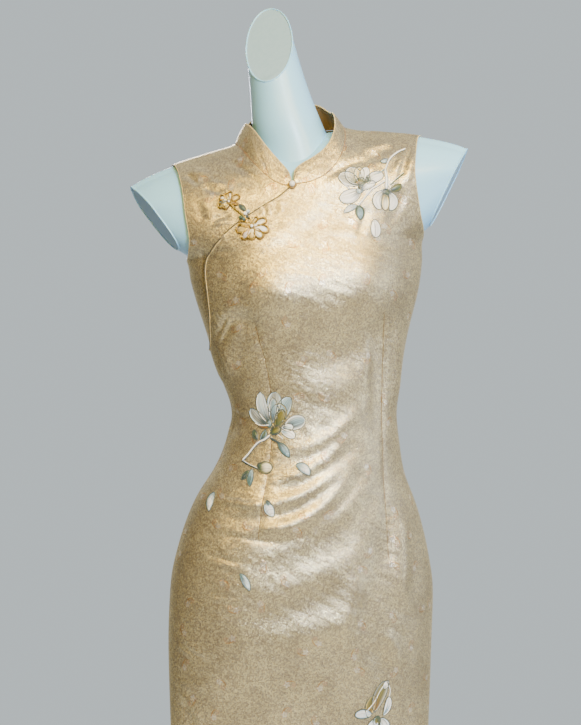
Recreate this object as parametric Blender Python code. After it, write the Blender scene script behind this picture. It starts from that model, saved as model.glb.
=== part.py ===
"""Cheongsam dress worn on a limbless dress form that stands on a pole and a round base.

Metres, +Z up. The origin is the centre of the base's underside. The dress faces -Y and the
wearer's right side is at -X. The form stands with its weight on one side: the waist sways,
the shoulders tilt and the hips turn, which the POSTURE table gives.

Two sets of coordinates describe everything that follows the body.
  u, station   u turns round the body, 0 at centre front, +-pi/2 at the sides, pi at centre back.
               station is the height up to SHOULDER_START. From there it runs over the shoulder
               to SHOULDER_STATION, the ridge where front and back meet.
  x, y, height the upright body before the posture bends it.
"""
import math

import bmesh
import bpy
import numpy as np

# Cloth and its making-up
CLOTH = 0.0015  # wall of the silk with its backing
SEAM_GAP = 0.0003  # between pieces that are sewn or rest on each other
PLY_GAP = 0.0012  # between two plies that lie loosely on each other
PLY_LIFT = CLOTH + PLY_GAP  # how far the front rises to lie over the underlap
UNDERLAP_REACH = 0.016  # how far the underlap runs on beneath the front's edge
UNDERLAP_FOOT = 0.010  # and how far below the foot of the opening
LIFT_FLAT = 0.034  # the front keeps its full lift this far from its edge
LIFT_END = 0.062  # and lies on the body again from here
LIFT_EDGE_POINTS = 24  # points of the edge that distances are measured from

# Heights up the body
HEM = 0.220
SLIT_TOP = 0.636
OPENING_FOOT = 1.140  # where the opening's edge meets the wearer's right side seam
UNDERARM = 1.268
SHOULDER_START = 1.335  # where the chest begins to turn over the shoulder
SHOULDER_STATION = 1.465  # station of the shoulder seam
BACK_FULLNESS = 0.35  # how much fuller the back turns over than the front
SLIT_SPREAD = 0.022  # gap between front and back at the foot of each slit

# Neckline and collar
NECK_CENTRE_X = -0.004
NECK_HALF_WIDTH = 0.0745
NECK_FRONT_X = -0.009
NECK_FRONT_STATION = 1.344
NECK_BACK_STATION = 1.402
NECK_LEFT_SPREAD = 0.70  # on the wearer's left the neckline runs out level beside the button
NECK_LEFT_DROP = 0.62  # and climbs late to the shoulder
COLLAR_WALL = 0.0016
COLLAR_GAP = 0.0006  # between the collar's foot and the panels
COLLAR_END_SHARE = 0.30  # share of the rise left where the rounded ends meet the button
COLLAR_END_TURN = math.radians(32)  # how far round the neck each end is rounded off
COLLAR_RIGHT_GAP = math.radians(1.2)  # from centre front to the wearer's right end
COLLAR_LEFT_GAP = math.radians(5.0)  # and to the left end
COLLAR_ROWS = 4

# Bust under the cloth
BUST_X = 0.076
BUST_HEIGHT = 1.212
BUST_RISE = 0.022
BUST_SPREAD_X = 0.050
BUST_SPREAD_UP = 0.050
BUST_SPREAD_DOWN = 0.034

# Form, pole and base
FORM_FOOT = 0.690  # the form's flat underside, hidden in the skirt
FORM_CLEARANCE = 0.0050  # between form and cloth where the cloth hangs free
SEAT_START = 1.425  # station where the cloth begins to rest on the shoulders
NECK_SINK = 0.022  # how far the shoulders fall away inside the neckline, to the neck's root
NECK_SINK_FRONT = 0.078  # reach of that hollow before the body's middle
NECK_SINK_BACK = 0.062  # and behind it
NECK_SINK_EDGE = (0.78, 1.02)  # shares of its reach between which it rises to the shoulders
NECK_SINK_START = 1.350  # station from which the hollow has its full depth
FORM_SEAT = 0.0009  # between form and cloth on the shoulders, which carry the dress
NECK_CUT_POINT = (-0.048, -0.010, 1.548)
NECK_CUT_NORMAL = (-0.73, -1.50, 1.0)
ARM_CUT_FOOT = (0.160, 0.000, 1.262)  # the arm cut's plane runs from the underarm
ARM_CUT_TOP = (0.232, 0.000, 1.383)  # to the shoulder's outer corner
ARM_CUT_SIDE = (0.2035, 0.040, 1.3225)  # and faces a little forwards
ARM_CUT_BLOCK = 0.200  # size of the block that cuts it
POLE_RADIUS = 0.014
SOCKET_RADIUS = POLE_RADIUS + SEAM_GAP
FORM_SOCKET_DEPTH = 0.060
POLE_CHAMFER = 0.001
BASE_CHAMFER = 0.002
BASE_RADIUS = 0.175
BASE_THICKNESS = 0.006
BOSS_RADIUS = 0.024
BOSS_HEIGHT = 0.046
BOSS_FLOOR = 0.004  # material left under the pole

# Button and frog
PEARL_RADIUS = 0.0040
RING_RADIUS = 0.0046
RING_WIRE_RADIUS = 0.0014
BUTTON_STAND = 0.0052  # height of the ring's middle over the body
FLOWER_LOBE_DEPTH = 0.16
FROG_EDGE_SHARE = 0.35  # share of a flower's rise that its rim has
FROG_GAP = 0.0006  # under the frog's flowers and stem

# Steps of the grids
SIDE_PULL = 5  # how closely a panel's threads keep to its sides: higher is closer
HIP_STATION = 0.800  # rows lie closer above it
HANGING_ROWS = 6
HIP_ROWS = 5
WAIST_ROWS = 15
SIDE_ROWS = 6  # from the foot of the opening to the underarm
ARMHOLE_SCOOP = (1.274, 1.282, 1.294, 1.312)  # stations of the rows round the armhole's foot
SHOULDER_ROWS = 9
OPENING_BEND = 0.56  # share of the opening's length where its steep part ends
OPENING_COLUMNS = 6
NECK_STEPS = 8  # from centre front to the shoulder
FRONT_SHOULDER_STEPS = 6
UNDERLAP_SHOULDER_STEPS = 3
BACK_NECK_STEPS = 12
BACK_SHOULDER_STEPS = 3
FORM_COLUMNS = 28
FORM_ROWS = 20  # from the form's foot to the underarm
FORM_SCOOP = (1.280, 1.294, 1.312, 1.335)
FORM_SHOULDER_ROWS = 10
NECK_RING_HEIGHTS = (1.350, 1.380, 1.405, 1.434, 1.480, 1.543, 1.640)
SHARP_ANGLE = math.radians(35)
WELD = 0.00005  # points of one mesh nearer than this are one point
NECK_SIDES = 28
TURNED_SIDES = 24
FROG_SIDES = 24
FROG_RINGS = 3
RING_STEPS = 20  # round the button's ring
RING_WIRE_SIDES = 8
PEARL_STEPS = 9  # from the pearl's foot to its crown
PEARL_SIDES = 16
SLOPE_STEP = 0.001  # over which slopes of the body are measured

SECTION_COLUMNS = ("station", "half_width", "front_depth", "back_depth")
SECTIONS = (
    (0.220, 0.166, 0.052, 0.056),
    (0.450, 0.172, 0.070, 0.076),
    (0.636, 0.179, 0.088, 0.096),
    (0.700, 0.181, 0.097, 0.108),
    (0.760, 0.182, 0.103, 0.116),
    (0.817, 0.181, 0.105, 0.120),
    (0.856, 0.174, 0.104, 0.118),
    (0.894, 0.164, 0.101, 0.110),
    (0.932, 0.150, 0.097, 0.097),
    (0.970, 0.130, 0.092, 0.084),
    (1.009, 0.119, 0.088, 0.077),
    (1.047, 0.1125, 0.086, 0.075),
    (1.086, 0.120, 0.087, 0.077),
    (1.124, 0.130, 0.090, 0.082),
    (1.162, 0.139, 0.094, 0.087),
    (1.201, 0.1505, 0.097, 0.091),
    (1.240, 0.1585, 0.096, 0.095),
    (1.268, 0.1615, 0.094, 0.097),
    (1.280, 0.175, 0.093, 0.097),
    (1.300, 0.200, 0.090, 0.097),
    (1.335, 0.232, 0.084, 0.095),
    (1.365, 0.250, 0.079, 0.091),
    (1.465, 0.252, 0.075, 0.088),
)

RIDGE_COLUMNS = ("x", "height")
SHOULDER_RIDGE = (
    (0.000, 1.460),
    (0.045, 1.445),
    (0.075, 1.425),
    (0.120, 1.4155),
    (0.171, 1.405),
    (0.232, 1.383),
    (0.260, 1.362),
)

POSTURE_COLUMNS = ("height", "shift_x", "shift_y", "roll_deg", "yaw_deg")
POSTURE = (
    (0.000, 0.000, 0.000, 0.0, 12.0),
    (0.450, 0.000, 0.000, 0.0, 12.0),
    (0.720, 0.000, 0.000, -2.0, 12.0),
    (0.817, 0.003, 0.000, -3.0, 12.0),
    (0.932, 0.008, 0.000, -2.5, 12.0),
    (1.047, 0.018, 0.000, 0.0, 12.0),
    (1.124, 0.011, 0.000, 2.5, 10.0),
    (1.201, 0.010, 0.000, 4.5, 8.0),
    (1.268, 0.005, 0.000, 5.4, 5.0),
    (1.335, -0.002, 0.000, 6.0, 0.0),
    (1.405, -0.007, 0.000, 6.4, -2.0),
    (1.434, -0.016, -0.002, 8.0, 0.0),
    (1.543, -0.037, -0.009, 9.0, 0.0),
    (1.640, -0.055, -0.015, 9.0, 0.0),
)

ARMHOLE_COLUMNS = ("station", "x")
ARMHOLE = (
    (1.268, 0.1615),
    (1.280, 0.1580),
    (1.300, 0.1540),
    (1.345, 0.1535),
    (1.396, 0.1590),
    (1.465, 0.171),
)

OPENING_EDGE_COLUMNS = ("station", "x")
OPENING_EDGE = (
    (1.140, -0.134),
    (1.190, -0.138),
    (1.235, -0.140),
    (1.268, -0.134),
    (1.292, -0.110),
    (1.313, -0.075),
    (1.332, -0.035),
    (NECK_FRONT_STATION, NECK_FRONT_X),
)

FOLD_COLUMNS = ("side", "start_x", "start_height", "end_x", "end_height", "half_width", "rise")
FOLDS = (
    (-1, -0.070, 0.912, 0.090, 1.004, 0.022, 0.0028),
    (-1, -0.110, 0.870, 0.080, 0.952, 0.024, 0.0030),
    (-1, -0.120, 0.800, 0.050, 0.884, 0.024, 0.0024),
    (-1, -0.125, 1.085, -0.060, 1.128, 0.020, 0.0020),
    (-1, 0.060, 0.560, 0.075, 0.860, 0.026, 0.0024),
    (1, -0.100, 0.935, 0.095, 0.985, 0.022, 0.0028),
    (1, -0.085, 1.010, 0.080, 1.050, 0.020, 0.0024),
    (1, -0.130, 0.850, 0.070, 0.900, 0.024, 0.0022),
    (1, -0.060, 0.300, -0.050, 0.700, 0.030, 0.0026),
)

NECK_COLUMNS = ("height", "x", "half_width", "half_depth")
NECK_SECTIONS = (
    (1.350, 0.0, 0.060, 0.060),
    (1.405, -0.0020, 0.0510, 0.056),
    (1.434, -0.0030, 0.0480, 0.054),
    (1.480, -0.0038, 0.0402, 0.048),
    (1.543, -0.0055, 0.0335, 0.043),
    (1.640, -0.0070, 0.0315, 0.042),
)

# turn_deg counts from centre front, more than 0 on the wearer's left.
COLLAR_COLUMNS = ("turn_deg", "rise", "lean")  # lean: inward run for each metre of rise
COLLAR = (
    (-180.0, 0.040, 0.10),
    (-135.0, 0.034, 0.35),
    (-90.0, 0.026, 0.60),
    (-45.0, 0.036, 0.42),
    (-20.0, 0.037, 0.32),
    (0.0, 0.034, 0.30),
    (20.0, 0.031, 0.32),
    (45.0, 0.026, 0.42),
    (90.0, 0.019, 0.60),
    (135.0, 0.034, 0.30),
    (180.0, 0.040, 0.10),
)

# on_front is 1 for a piece that lies on the front's raised edge, 0 on the underlap.
FROG_COLUMNS = ("node", "x", "station", "half_length", "half_width", "rise", "turn_deg", "lobes",
                "on_front")
FROG = (
    ("frog_flower_upper", -0.096, 1.339, 0.0160, 0.0120, 0.0055, 15.0, 5, 0),
    ("frog_stem", -0.0835, 1.3175, 0.0080, 0.0042, 0.0050, 130.0, 1, 1),
    ("frog_flower_lower", -0.0700, 1.2930, 0.0225, 0.0165, 0.0065, 10.0, 6, 1),
)

COLOURS = {
    "silk": (0.70, 0.58, 0.38, 1.0),
    "pearl": (0.88, 0.86, 0.80, 1.0),
    "gold_wire": (0.62, 0.45, 0.20, 1.0),
    "form_white": (0.72, 0.82, 0.90, 1.0),
    "steel": (0.60, 0.60, 0.62, 1.0),
}


def column(table, names, name):
    """One named column of a table, as an array."""
    return np.array([row[names.index(name)] for row in table], dtype=float)


def smooth(xs, ys, x):
    """A curve through (xs, ys) with no overshoot between the rows of a table."""
    x = np.clip(np.asarray(x, dtype=float), xs[0], xs[-1])
    steps = np.diff(xs)
    slopes = np.diff(ys) / steps
    inner = np.where(slopes[:-1] * slopes[1:] > 0, (slopes[:-1] + slopes[1:]) / 2, 0.0)
    limit = 3 * np.minimum(np.abs(slopes[:-1]), np.abs(slopes[1:]))
    inner = np.clip(inner, -limit, limit)
    tangents = np.concatenate([[slopes[0]], inner, [slopes[-1]]])
    k = np.clip(np.searchsorted(xs, x, side="right") - 1, 0, len(xs) - 2)
    t = (x - xs[k]) / steps[k]
    start = (1 + 2 * t) * (1 - t) ** 2 * ys[k] + t * (1 - t) ** 2 * steps[k] * tangents[k]
    end = t * t * (3 - 2 * t) * ys[k + 1] - t * t * (1 - t) * steps[k] * tangents[k + 1]
    return start + end


def read(table, names, key, name, x):
    """A table's column as a smooth function of its key column."""
    return smooth(column(table, names, key), column(table, names, name), x)


def section(name, station):
    """One measure of the body's cross-section at a station."""
    return read(SECTIONS, SECTION_COLUMNS, "station", name, station)


def posture(name, height):
    """One measure of the posture at a height."""
    return read(POSTURE, POSTURE_COLUMNS, "height", name, height)


def ridge_height(x):
    """Height of the shoulder ridge at a place across the body."""
    return read(SHOULDER_RIDGE, RIDGE_COLUMNS, "x", "height", np.abs(x))


def ramp(x, start, stop):
    """0 before start, 1 after stop, and a soft step between them."""
    t = np.clip((x - start) / (stop - start), 0, 1)
    return t * t * (3 - 2 * t)


def bust_rise(x, height):
    """How far the bust lifts the front of the cloth at a place."""
    spread = np.where(height > BUST_HEIGHT, BUST_SPREAD_UP, BUST_SPREAD_DOWN)
    up = np.exp(-(((height - BUST_HEIGHT) / spread) ** 2) / 2)
    across = sum(np.exp(-(((x - side * BUST_X) / BUST_SPREAD_X) ** 2) / 2) for side in (-1, 1))
    return BUST_RISE * up * across


def fold_rise(x, height, side):
    """How far the large soft folds lift one side of the dress, front (-1) or back (1)."""
    rise = np.zeros_like(x)
    for fold_side, x0, h0, x1, h1, half_width, top in FOLDS:
        run = np.array([x1 - x0, h1 - h0])
        length = np.linalg.norm(run)
        along = ((x - x0) * run[0] + (height - h0) * run[1]) / length**2
        across = ((x - x0) * run[1] - (height - h0) * run[0]) / length
        ends = ramp(along, -0.05, 0.25) * ramp(-along, -1.05, -0.75)
        hill = np.cos(np.clip(across / half_width, -1, 1) * math.pi / 2) ** 2
        rise += np.where(side == fold_side, top * ends * hill, 0)
    return rise


def body(u, station):
    """The upright body at (u, station), as x, y, height."""
    u, station = np.broadcast_arrays(np.asarray(u, float), np.asarray(station, float))
    x = section("half_width", station) * np.sin(u)
    at_front = np.cos(u) >= 0
    depth = np.where(at_front, section("front_depth", station), section("back_depth", station))
    over = np.clip((station - SHOULDER_START) / (SHOULDER_STATION - SHOULDER_START), 0, 1)
    turn = over * math.pi / 2
    fullness = np.where(at_front, 0, BACK_FULLNESS)
    rise = np.sin(turn) + fullness * np.sin(turn) * (1 - np.sin(turn))
    crown = SHOULDER_START + (ridge_height(x) - SHOULDER_START) * rise
    height = np.where(over > 0, crown, station)
    y = -depth * np.cos(u) * np.cos(turn)
    y = y - np.where(at_front, bust_rise(x, height) * np.cos(u) * np.cos(turn), 0)
    return np.stack([x, y, height], axis=-1)


def posed(points):
    """Upright points bent, tilted and turned into the form's posture."""
    x, y, height = np.moveaxis(np.asarray(points, float), -1, 0)
    roll = np.radians(posture("roll_deg", height))
    yaw = np.radians(posture("yaw_deg", height))
    across = x * np.cos(roll)
    return np.stack(
        [
            posture("shift_x", height) + across * np.cos(yaw) - y * np.sin(yaw),
            posture("shift_y", height) + across * np.sin(yaw) + y * np.cos(yaw),
            height + x * np.sin(roll),
        ],
        axis=-1,
    )


def normal(u, station):
    """Outward unit normals of the posed body."""
    step = 2 * SLOPE_STEP
    u = np.asarray(u, float)
    edge = math.pi / 2
    # At the very side of the shoulder the surface closes to a point, so u is read beside it.
    near_side = np.abs(np.abs(u) - edge) < 2 * step
    u = np.where(near_side, np.sign(u) * (edge - 2 * step), u)
    low = np.clip(np.asarray(station, float) - step, HEM, SHOULDER_STATION - 2 * step)
    high = low + 2 * step
    middle = (low + high) / 2
    round_body = posed(body(u + step, middle)) - posed(body(u - step, middle))
    up_body = posed(body(u, high)) - posed(body(u, low))
    across = np.cross(round_body, up_body)
    return across / np.linalg.norm(across, axis=-1, keepdims=True)


def edge_distance(points, edge):
    """Distance of each upright point from a polyline of upright points."""
    nearest = np.full(points.shape[:-1], np.inf)
    for start, end in zip(edge[:-1], edge[1:]):
        run = end - start
        along = np.clip(((points - start) @ run) / (run @ run), 0, 1)
        gap = np.linalg.norm(points - start - along[..., None] * run, axis=-1)
        nearest = np.minimum(nearest, gap)
    return nearest


def turn_of(x, station):
    """u on the front of the body at a place x across it."""
    return np.arcsin(np.clip(x / section("half_width", station), -1, 1))


def side_turn(station, gap):
    """u of a panel's side edge on the wearer's left, half a gap short of the side seam."""
    return math.pi / 2 - gap / 2 / section("front_depth", station)


def side_gap(station):
    """Gap between front and back at the side: a seam, then a slit that widens to the hem."""
    open_part = np.clip((SLIT_TOP - station) / (SLIT_TOP - HEM), 0, 1)
    return SEAM_GAP + SLIT_SPREAD * open_part


def opening_edge(count, start=0.0, stop=1.0):
    """(u, station) along the front's edge over the wearer's right breast, from a share
    start to a share stop of its length, which runs from its foot to the neck."""
    stations = column(OPENING_EDGE, OPENING_EDGE_COLUMNS, "station")
    xs = column(OPENING_EDGE, OPENING_EDGE_COLUMNS, "x")
    knots = np.concatenate([[0], np.cumsum(np.hypot(np.diff(xs), np.diff(stations)))])
    share = np.linspace(start, stop, count)
    station = smooth(knots, stations, share * knots[-1])
    u = turn_of(smooth(knots, xs, share * knots[-1]), station)
    u = np.where(share == 0, -side_turn(station, SEAM_GAP), u)
    return np.stack([u, station], axis=-1)


def armhole_edge(stations):
    """(u, station) up the wearer's left side seam and round the armhole to the shoulder."""
    x = read(ARMHOLE, ARMHOLE_COLUMNS, "station", "x", stations)
    u = np.where(stations > UNDERARM, turn_of(x, stations), side_turn(stations, SEAM_GAP))
    top = shoulder_station(x)
    return np.stack([u, np.minimum(stations, top)], axis=-1)


def shoulder_station(x):
    """Station of a panel's shoulder edge, half a seam gap short of the ridge."""
    depth = section("front_depth", SHOULDER_STATION)
    share = np.sqrt(1 - (x / section("half_width", SHOULDER_STATION)) ** 2)
    angle = SEAM_GAP / 2 / (depth * share)
    return SHOULDER_STATION - angle / (math.pi / 2) * (SHOULDER_STATION - SHOULDER_START)


def neckline(around, at_back=False):
    """(x, station) on the neckline, around being 0 at its middle and +-pi/2 at the shoulders."""
    middle_station = NECK_BACK_STATION if at_back else NECK_FRONT_STATION
    middle_x = NECK_CENTRE_X if at_back else NECK_FRONT_X
    end_x = NECK_CENTRE_X + np.sign(around) * NECK_HALF_WIDTH
    across, down = np.abs(np.sin(around)), np.cos(around)
    if not at_back:
        share = np.abs(around) / (math.pi / 2)
        even = share * share * (3 - 2 * share) * math.pi / 2
        across = np.where(around > 0, np.sin(even) ** NECK_LEFT_SPREAD, across)
        down = np.where(around > 0, np.abs(np.cos(even)) ** NECK_LEFT_DROP, down)
    x = middle_x + (end_x - middle_x) * across
    top = shoulder_station(x)
    return np.stack([x, top - (top - middle_station) * down], axis=-1)


def neckline_turns(around, at_back=False):
    """(u, station) on the neckline."""
    place = neckline(around, at_back)
    u = turn_of(place[:, 0], place[:, 1])
    if at_back:
        u = math.pi - u
    return np.stack([u, place[:, 1]], axis=-1)


def shoulder_edge(start_x, end_x, count):
    """(u, station) along a shoulder seam, without its first point."""
    x = np.linspace(start_x, end_x, count + 1)[1:]
    station = shoulder_station(x)
    return np.stack([turn_of(x, station), station], axis=-1)


def moved_in(edge, reach):
    """An edge of (u, station) moved over the body's surface, to the right of its run."""
    u, station = edge[:, 0], edge[:, 1]
    step = SLOPE_STEP
    per_u = np.linalg.norm(body(u + step, station) - body(u - step, station), axis=-1) / 2 / step
    up = body(u, station + step) - body(u, station - step)
    per_station = np.linalg.norm(up, axis=-1) / 2 / step
    run = np.gradient(edge, axis=0) * np.stack([per_u, per_station], axis=-1)
    inward = np.stack([run[:, 1], -run[:, 0]], axis=-1)
    inward /= np.linalg.norm(inward, axis=-1, keepdims=True)
    return edge + reach * inward / np.stack([per_u, per_station], axis=-1)


def unrolled(grid, middle=0.0):
    """(u, station) as flat pattern coordinates, the way round the body and up it."""
    way_round = (grid[..., 0] - middle) * section("half_width", grid[..., 1])
    return np.stack([way_round, grid[..., 1]], axis=-1)


def rolled(flat, middle=0.0):
    """Flat pattern coordinates as (u, station)."""
    u = middle + flat[..., 0] / section("half_width", flat[..., 1])
    return np.stack([u, flat[..., 1]], axis=-1)


def ruled_patch(starts, ends, first_side, last_side, shares=None, middle=0.0):
    """A grid of (u, station) whose threads run from starts to ends, with points at the
    given shares of their length. Its first and last thread follow the given sides, and the
    threads near them bend along with them."""
    starts, ends, first, last = (
        unrolled(edge, middle) for edge in (starts, ends, first_side, last_side)
    )
    s = np.linspace(0, 1, len(starts))[None, :, None]
    t = np.linspace(0, 1, len(first)) if shares is None else shares
    t = t[:, None, None]
    ruled = (1 - t) * starts[None] + t * ends[None]
    near_first = (1 - s) ** SIDE_PULL * (first[:, None] - ruled[:, :1])
    near_last = s**SIDE_PULL * (last[:, None] - ruled[:, -1:])
    return rolled(ruled + near_first + near_last, middle)


def place(grid, lift=0.0):
    """Posed points of a grid of (u, station), lifted off the body along its normals."""
    u, station = grid[..., 0], grid[..., 1]
    upright = body(u, station)
    side = np.where(np.cos(u) >= 0, -1, 1)
    folds = fold_rise(upright[..., 0], upright[..., 2], side)
    return posed(upright) + normal(u, station) * (np.asarray(lift) + folds)[..., None]


def make_object(name, vertices, faces, colour):
    """A named mesh object with its own material."""
    mesh = bpy.data.meshes.new(name)
    mesh.from_pydata([tuple(map(float, v)) for v in vertices], [], faces)
    mesh.update()
    obj = bpy.data.objects.new(name, mesh)
    bpy.context.scene.collection.objects.link(obj)
    mesh.materials.append(make_material(name, colour))
    shade(mesh)
    return obj


def make_material(name, colour):
    """A material of its own for one piece."""
    material = bpy.data.materials.new(name)
    material.use_nodes = True
    shader = material.node_tree.nodes["Principled BSDF"]
    shader.inputs["Base Color"].default_value = COLOURS[colour]
    shader.inputs["Roughness"].default_value = 0.25 if colour in ("pearl", "steel") else 0.5
    shader.inputs["Metallic"].default_value = 1.0 if colour in ("gold_wire", "steel") else 0.0
    return material


def shade(mesh):
    """Smooth shading with sharp edges where faces turn by more than SHARP_ANGLE."""
    mesh.shade_smooth()
    mesh.set_sharp_from_angle(angle=SHARP_ANGLE)


def wall(name, outer, inner, colour):
    """A closed wall between two matching grids of points."""
    rows, columns = outer.shape[:2]
    count = rows * columns
    vertices = np.concatenate([outer.reshape(-1, 3), inner.reshape(-1, 3)])
    index = np.arange(count).reshape(rows, columns)
    faces = []
    for j in range(rows - 1):
        for i in range(columns - 1):
            a, b, c, d = index[j, i], index[j, i + 1], index[j + 1, i + 1], index[j + 1, i]
            faces.append((int(a), int(b), int(c), int(d)))
            faces.append(tuple(int(k) + count for k in (d, c, b, a)))
    rim = [*index[0, :-1], *index[:-1, -1], *index[-1, :0:-1], *index[:0:-1, 0]]
    for a, b in zip(rim, rim[1:] + rim[:1]):
        faces.append((int(b), int(a), int(a) + count, int(b) + count))
    return make_object(name, vertices, faces, colour)


def panel(name, grid, lift=0.0):
    """A cloth wall on a grid of (u, station)."""
    lift = np.broadcast_to(lift, grid.shape[:2])
    return wall(name, place(grid, lift + CLOTH / 2), place(grid, lift - CLOTH / 2), "silk")


def skirt_stations():
    """Rows of the front and back from the hem to the foot of the opening."""
    hanging = np.linspace(HEM, SLIT_TOP, HANGING_ROWS)
    hips = np.linspace(SLIT_TOP, HIP_STATION, HIP_ROWS)[1:]
    waist = np.linspace(HIP_STATION, OPENING_FOOT, WAIST_ROWS)[1:]
    return np.concatenate([hanging, hips, waist])


def side_stations():
    """Rows of the front and back from the foot of the opening to the shoulder seam."""
    below = np.linspace(OPENING_FOOT, UNDERARM, SIDE_ROWS)
    over = np.linspace(SHOULDER_START, SHOULDER_STATION, SHOULDER_ROWS)
    return np.concatenate([below, ARMHOLE_SCOOP, over])


def side_shares():
    """The same rows as shares of the way from the first to the last."""
    stations = side_stations()
    return (stations - stations[0]) / (stations[-1] - stations[0])


def front_grid():
    """The front: hem to shoulder, its top edge running along the opening and the neckline."""
    stations = skirt_stations()
    edge = side_turn(stations, side_gap(stations))
    across = np.linspace(-1, 1, OPENING_COLUMNS + NECK_STEPS + FRONT_SHOULDER_STEPS + 1)
    lower = np.stack(np.broadcast_arrays(across[None] * edge[:, None], stations[:, None]), axis=-1)
    left_side = armhole_edge(side_stations())
    steep = opening_edge(len(left_side), 0.0, OPENING_BEND)
    flat = opening_edge(OPENING_COLUMNS + 1, OPENING_BEND, 1.0)
    neck = neckline_turns(np.linspace(0, math.pi / 2, NECK_STEPS + 1))
    shoulder = shoulder_edge(NECK_CENTRE_X + NECK_HALF_WIDTH, ARMHOLE[-1][1], FRONT_SHOULDER_STEPS)
    top = np.concatenate([flat[:-1], neck, shoulder])
    upper = ruled_patch(lower[-1], top, steep, left_side, side_shares())
    return np.concatenate([lower, upper[1:]])


def mirrored(edge):
    """The same edge on the wearer's right."""
    return edge * np.array([-1.0, 1.0])


def opening_lift(grid):
    """How far the front rises near the opening to lie over the underlap."""
    edge = opening_edge(LIFT_EDGE_POINTS)
    distance = edge_distance(body(grid[..., 0], grid[..., 1]), body(edge[:, 0], edge[:, 1]))
    return PLY_LIFT * (1 - ramp(distance, LIFT_FLAT, LIFT_END))


def underlap_grid():
    """The piece over the wearer's right breast, whose inner edge is hidden by the front."""
    foot = OPENING_FOOT - UNDERLAP_FOOT
    outer = mirrored(armhole_edge(np.concatenate([[foot], side_stations()])))
    hidden = moved_in(opening_edge(len(outer)), UNDERLAP_REACH)
    step = math.pi / 2 / NECK_STEPS
    neck = neckline_turns(np.linspace(-math.pi / 2, step, NECK_STEPS + 2))
    hidden[-1] = neck[-1]
    hidden[0, 1] = foot
    shoulder = mirrored(
        shoulder_edge(ARMHOLE[-1][1], NECK_HALF_WIDTH - NECK_CENTRE_X, UNDERLAP_SHOULDER_STEPS)
    )
    top = np.concatenate([outer[-1:], shoulder, neck[1:]])
    across = np.linspace(0, 1, len(top))[:, None]
    bottom = (1 - across) * outer[0] + across * hidden[0]
    return ruled_patch(outer, hidden, bottom, top).swapaxes(0, 1)


def back_grid():
    """The back, from the wearer's left round to the right."""
    stations = skirt_stations()
    edge = side_turn(stations, side_gap(stations))
    across = np.linspace(-1, 1, BACK_NECK_STEPS + 2 * BACK_SHOULDER_STEPS + 1)
    turns = math.pi + across[None] * edge[:, None]
    lower = np.stack(np.broadcast_arrays(turns, stations[:, None]), axis=-1)
    side = armhole_edge(side_stations())
    left = side * np.array([-1.0, 1.0]) + np.array([math.pi, 0.0])
    right = side + np.array([math.pi, 0.0])
    neck = neckline_turns(np.linspace(math.pi / 2, -math.pi / 2, BACK_NECK_STEPS + 1), True)
    left_seam = shoulder_edge(ARMHOLE[-1][1], NECK_CENTRE_X + NECK_HALF_WIDTH, BACK_SHOULDER_STEPS)
    left_seam[:, 0] = math.pi - left_seam[:, 0]
    right_seam = shoulder_edge(
        NECK_HALF_WIDTH - NECK_CENTRE_X, ARMHOLE[-1][1], BACK_SHOULDER_STEPS
    )
    right_seam[:, 0] = math.pi + right_seam[:, 0]
    top = np.concatenate([left[-1:], left_seam, neck[1:], right_seam])
    upper = ruled_patch(lower[-1], top, left, right, side_shares(), math.pi)
    return np.concatenate([lower, upper[1:]])


def form_gap(u, station):
    """How far the form's skin lies inside the body's surface."""
    x, y, height = np.moveaxis(body(u, station), -1, 0)
    seat = ramp(station, SEAT_START, SHOULDER_STATION - 0.010)
    gap = CLOTH / 2 + FORM_CLEARANCE + (FORM_SEAT - FORM_CLEARANCE) * seat
    reach_y = np.where(y < 0, NECK_SINK_FRONT, NECK_SINK_BACK)
    neck = np.hypot((x - NECK_CENTRE_X) / NECK_HALF_WIDTH, y / reach_y)
    inside = 1 - ramp(neck, *NECK_SINK_EDGE)
    return gap + NECK_SINK * inside * ramp(station, SHOULDER_START, NECK_SINK_START)


def form_points():
    """Rings of the form's torso, foot to shoulder ridge, as rows of points."""
    low = np.linspace(FORM_FOOT, UNDERARM, FORM_ROWS)
    over = np.linspace(SHOULDER_START, SHOULDER_STATION, FORM_SHOULDER_ROWS)[1:]
    stations = np.concatenate([low, FORM_SCOOP, over])[:, None]
    turns = np.linspace(-math.pi, math.pi, FORM_COLUMNS + 1)[None, :-1]
    u, stations = np.broadcast_arrays(turns, stations)
    skin = posed(body(u, stations))
    rings = skin - normal(u, stations) * form_gap(u, stations)[..., None]
    # Front and back meet on the ridge: u and pi - u are one point there.
    partner = (FORM_COLUMNS // 2 - np.arange(FORM_COLUMNS)) % FORM_COLUMNS
    rings[-1] = (rings[-1] + rings[-1][partner]) / 2
    return rings


def neck_rings():
    """Rings of the form's neck, from inside the shoulders to above its slanted cut."""
    heights = np.array(NECK_RING_HEIGHTS)[:, None]
    turn = np.linspace(0, 2 * math.pi, NECK_SIDES + 1)[None, :-1]
    middle = read(NECK_SECTIONS, NECK_COLUMNS, "height", "x", heights)
    half_width = read(NECK_SECTIONS, NECK_COLUMNS, "height", "half_width", heights)
    half_depth = read(NECK_SECTIONS, NECK_COLUMNS, "height", "half_depth", heights)
    x = middle + half_width * np.cos(turn)
    y = half_depth * np.sin(turn)
    return posed(np.stack(np.broadcast_arrays(x, y, heights), axis=-1))


def tube(rings):
    """Vertices and faces of a closed tube through rings of points, flat at both ends."""
    rows, columns = rings.shape[:2]
    index = np.arange(rows * columns).reshape(rows, columns).tolist()
    faces = []
    for low, high in zip(index, index[1:]):
        for i in range(columns):
            k = (i + 1) % columns
            faces.append((low[i], low[k], high[k], high[i]))
    faces.append(tuple(reversed(index[0])))
    faces.append(tuple(index[-1]))
    return rings.reshape(-1, 3), faces


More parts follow.
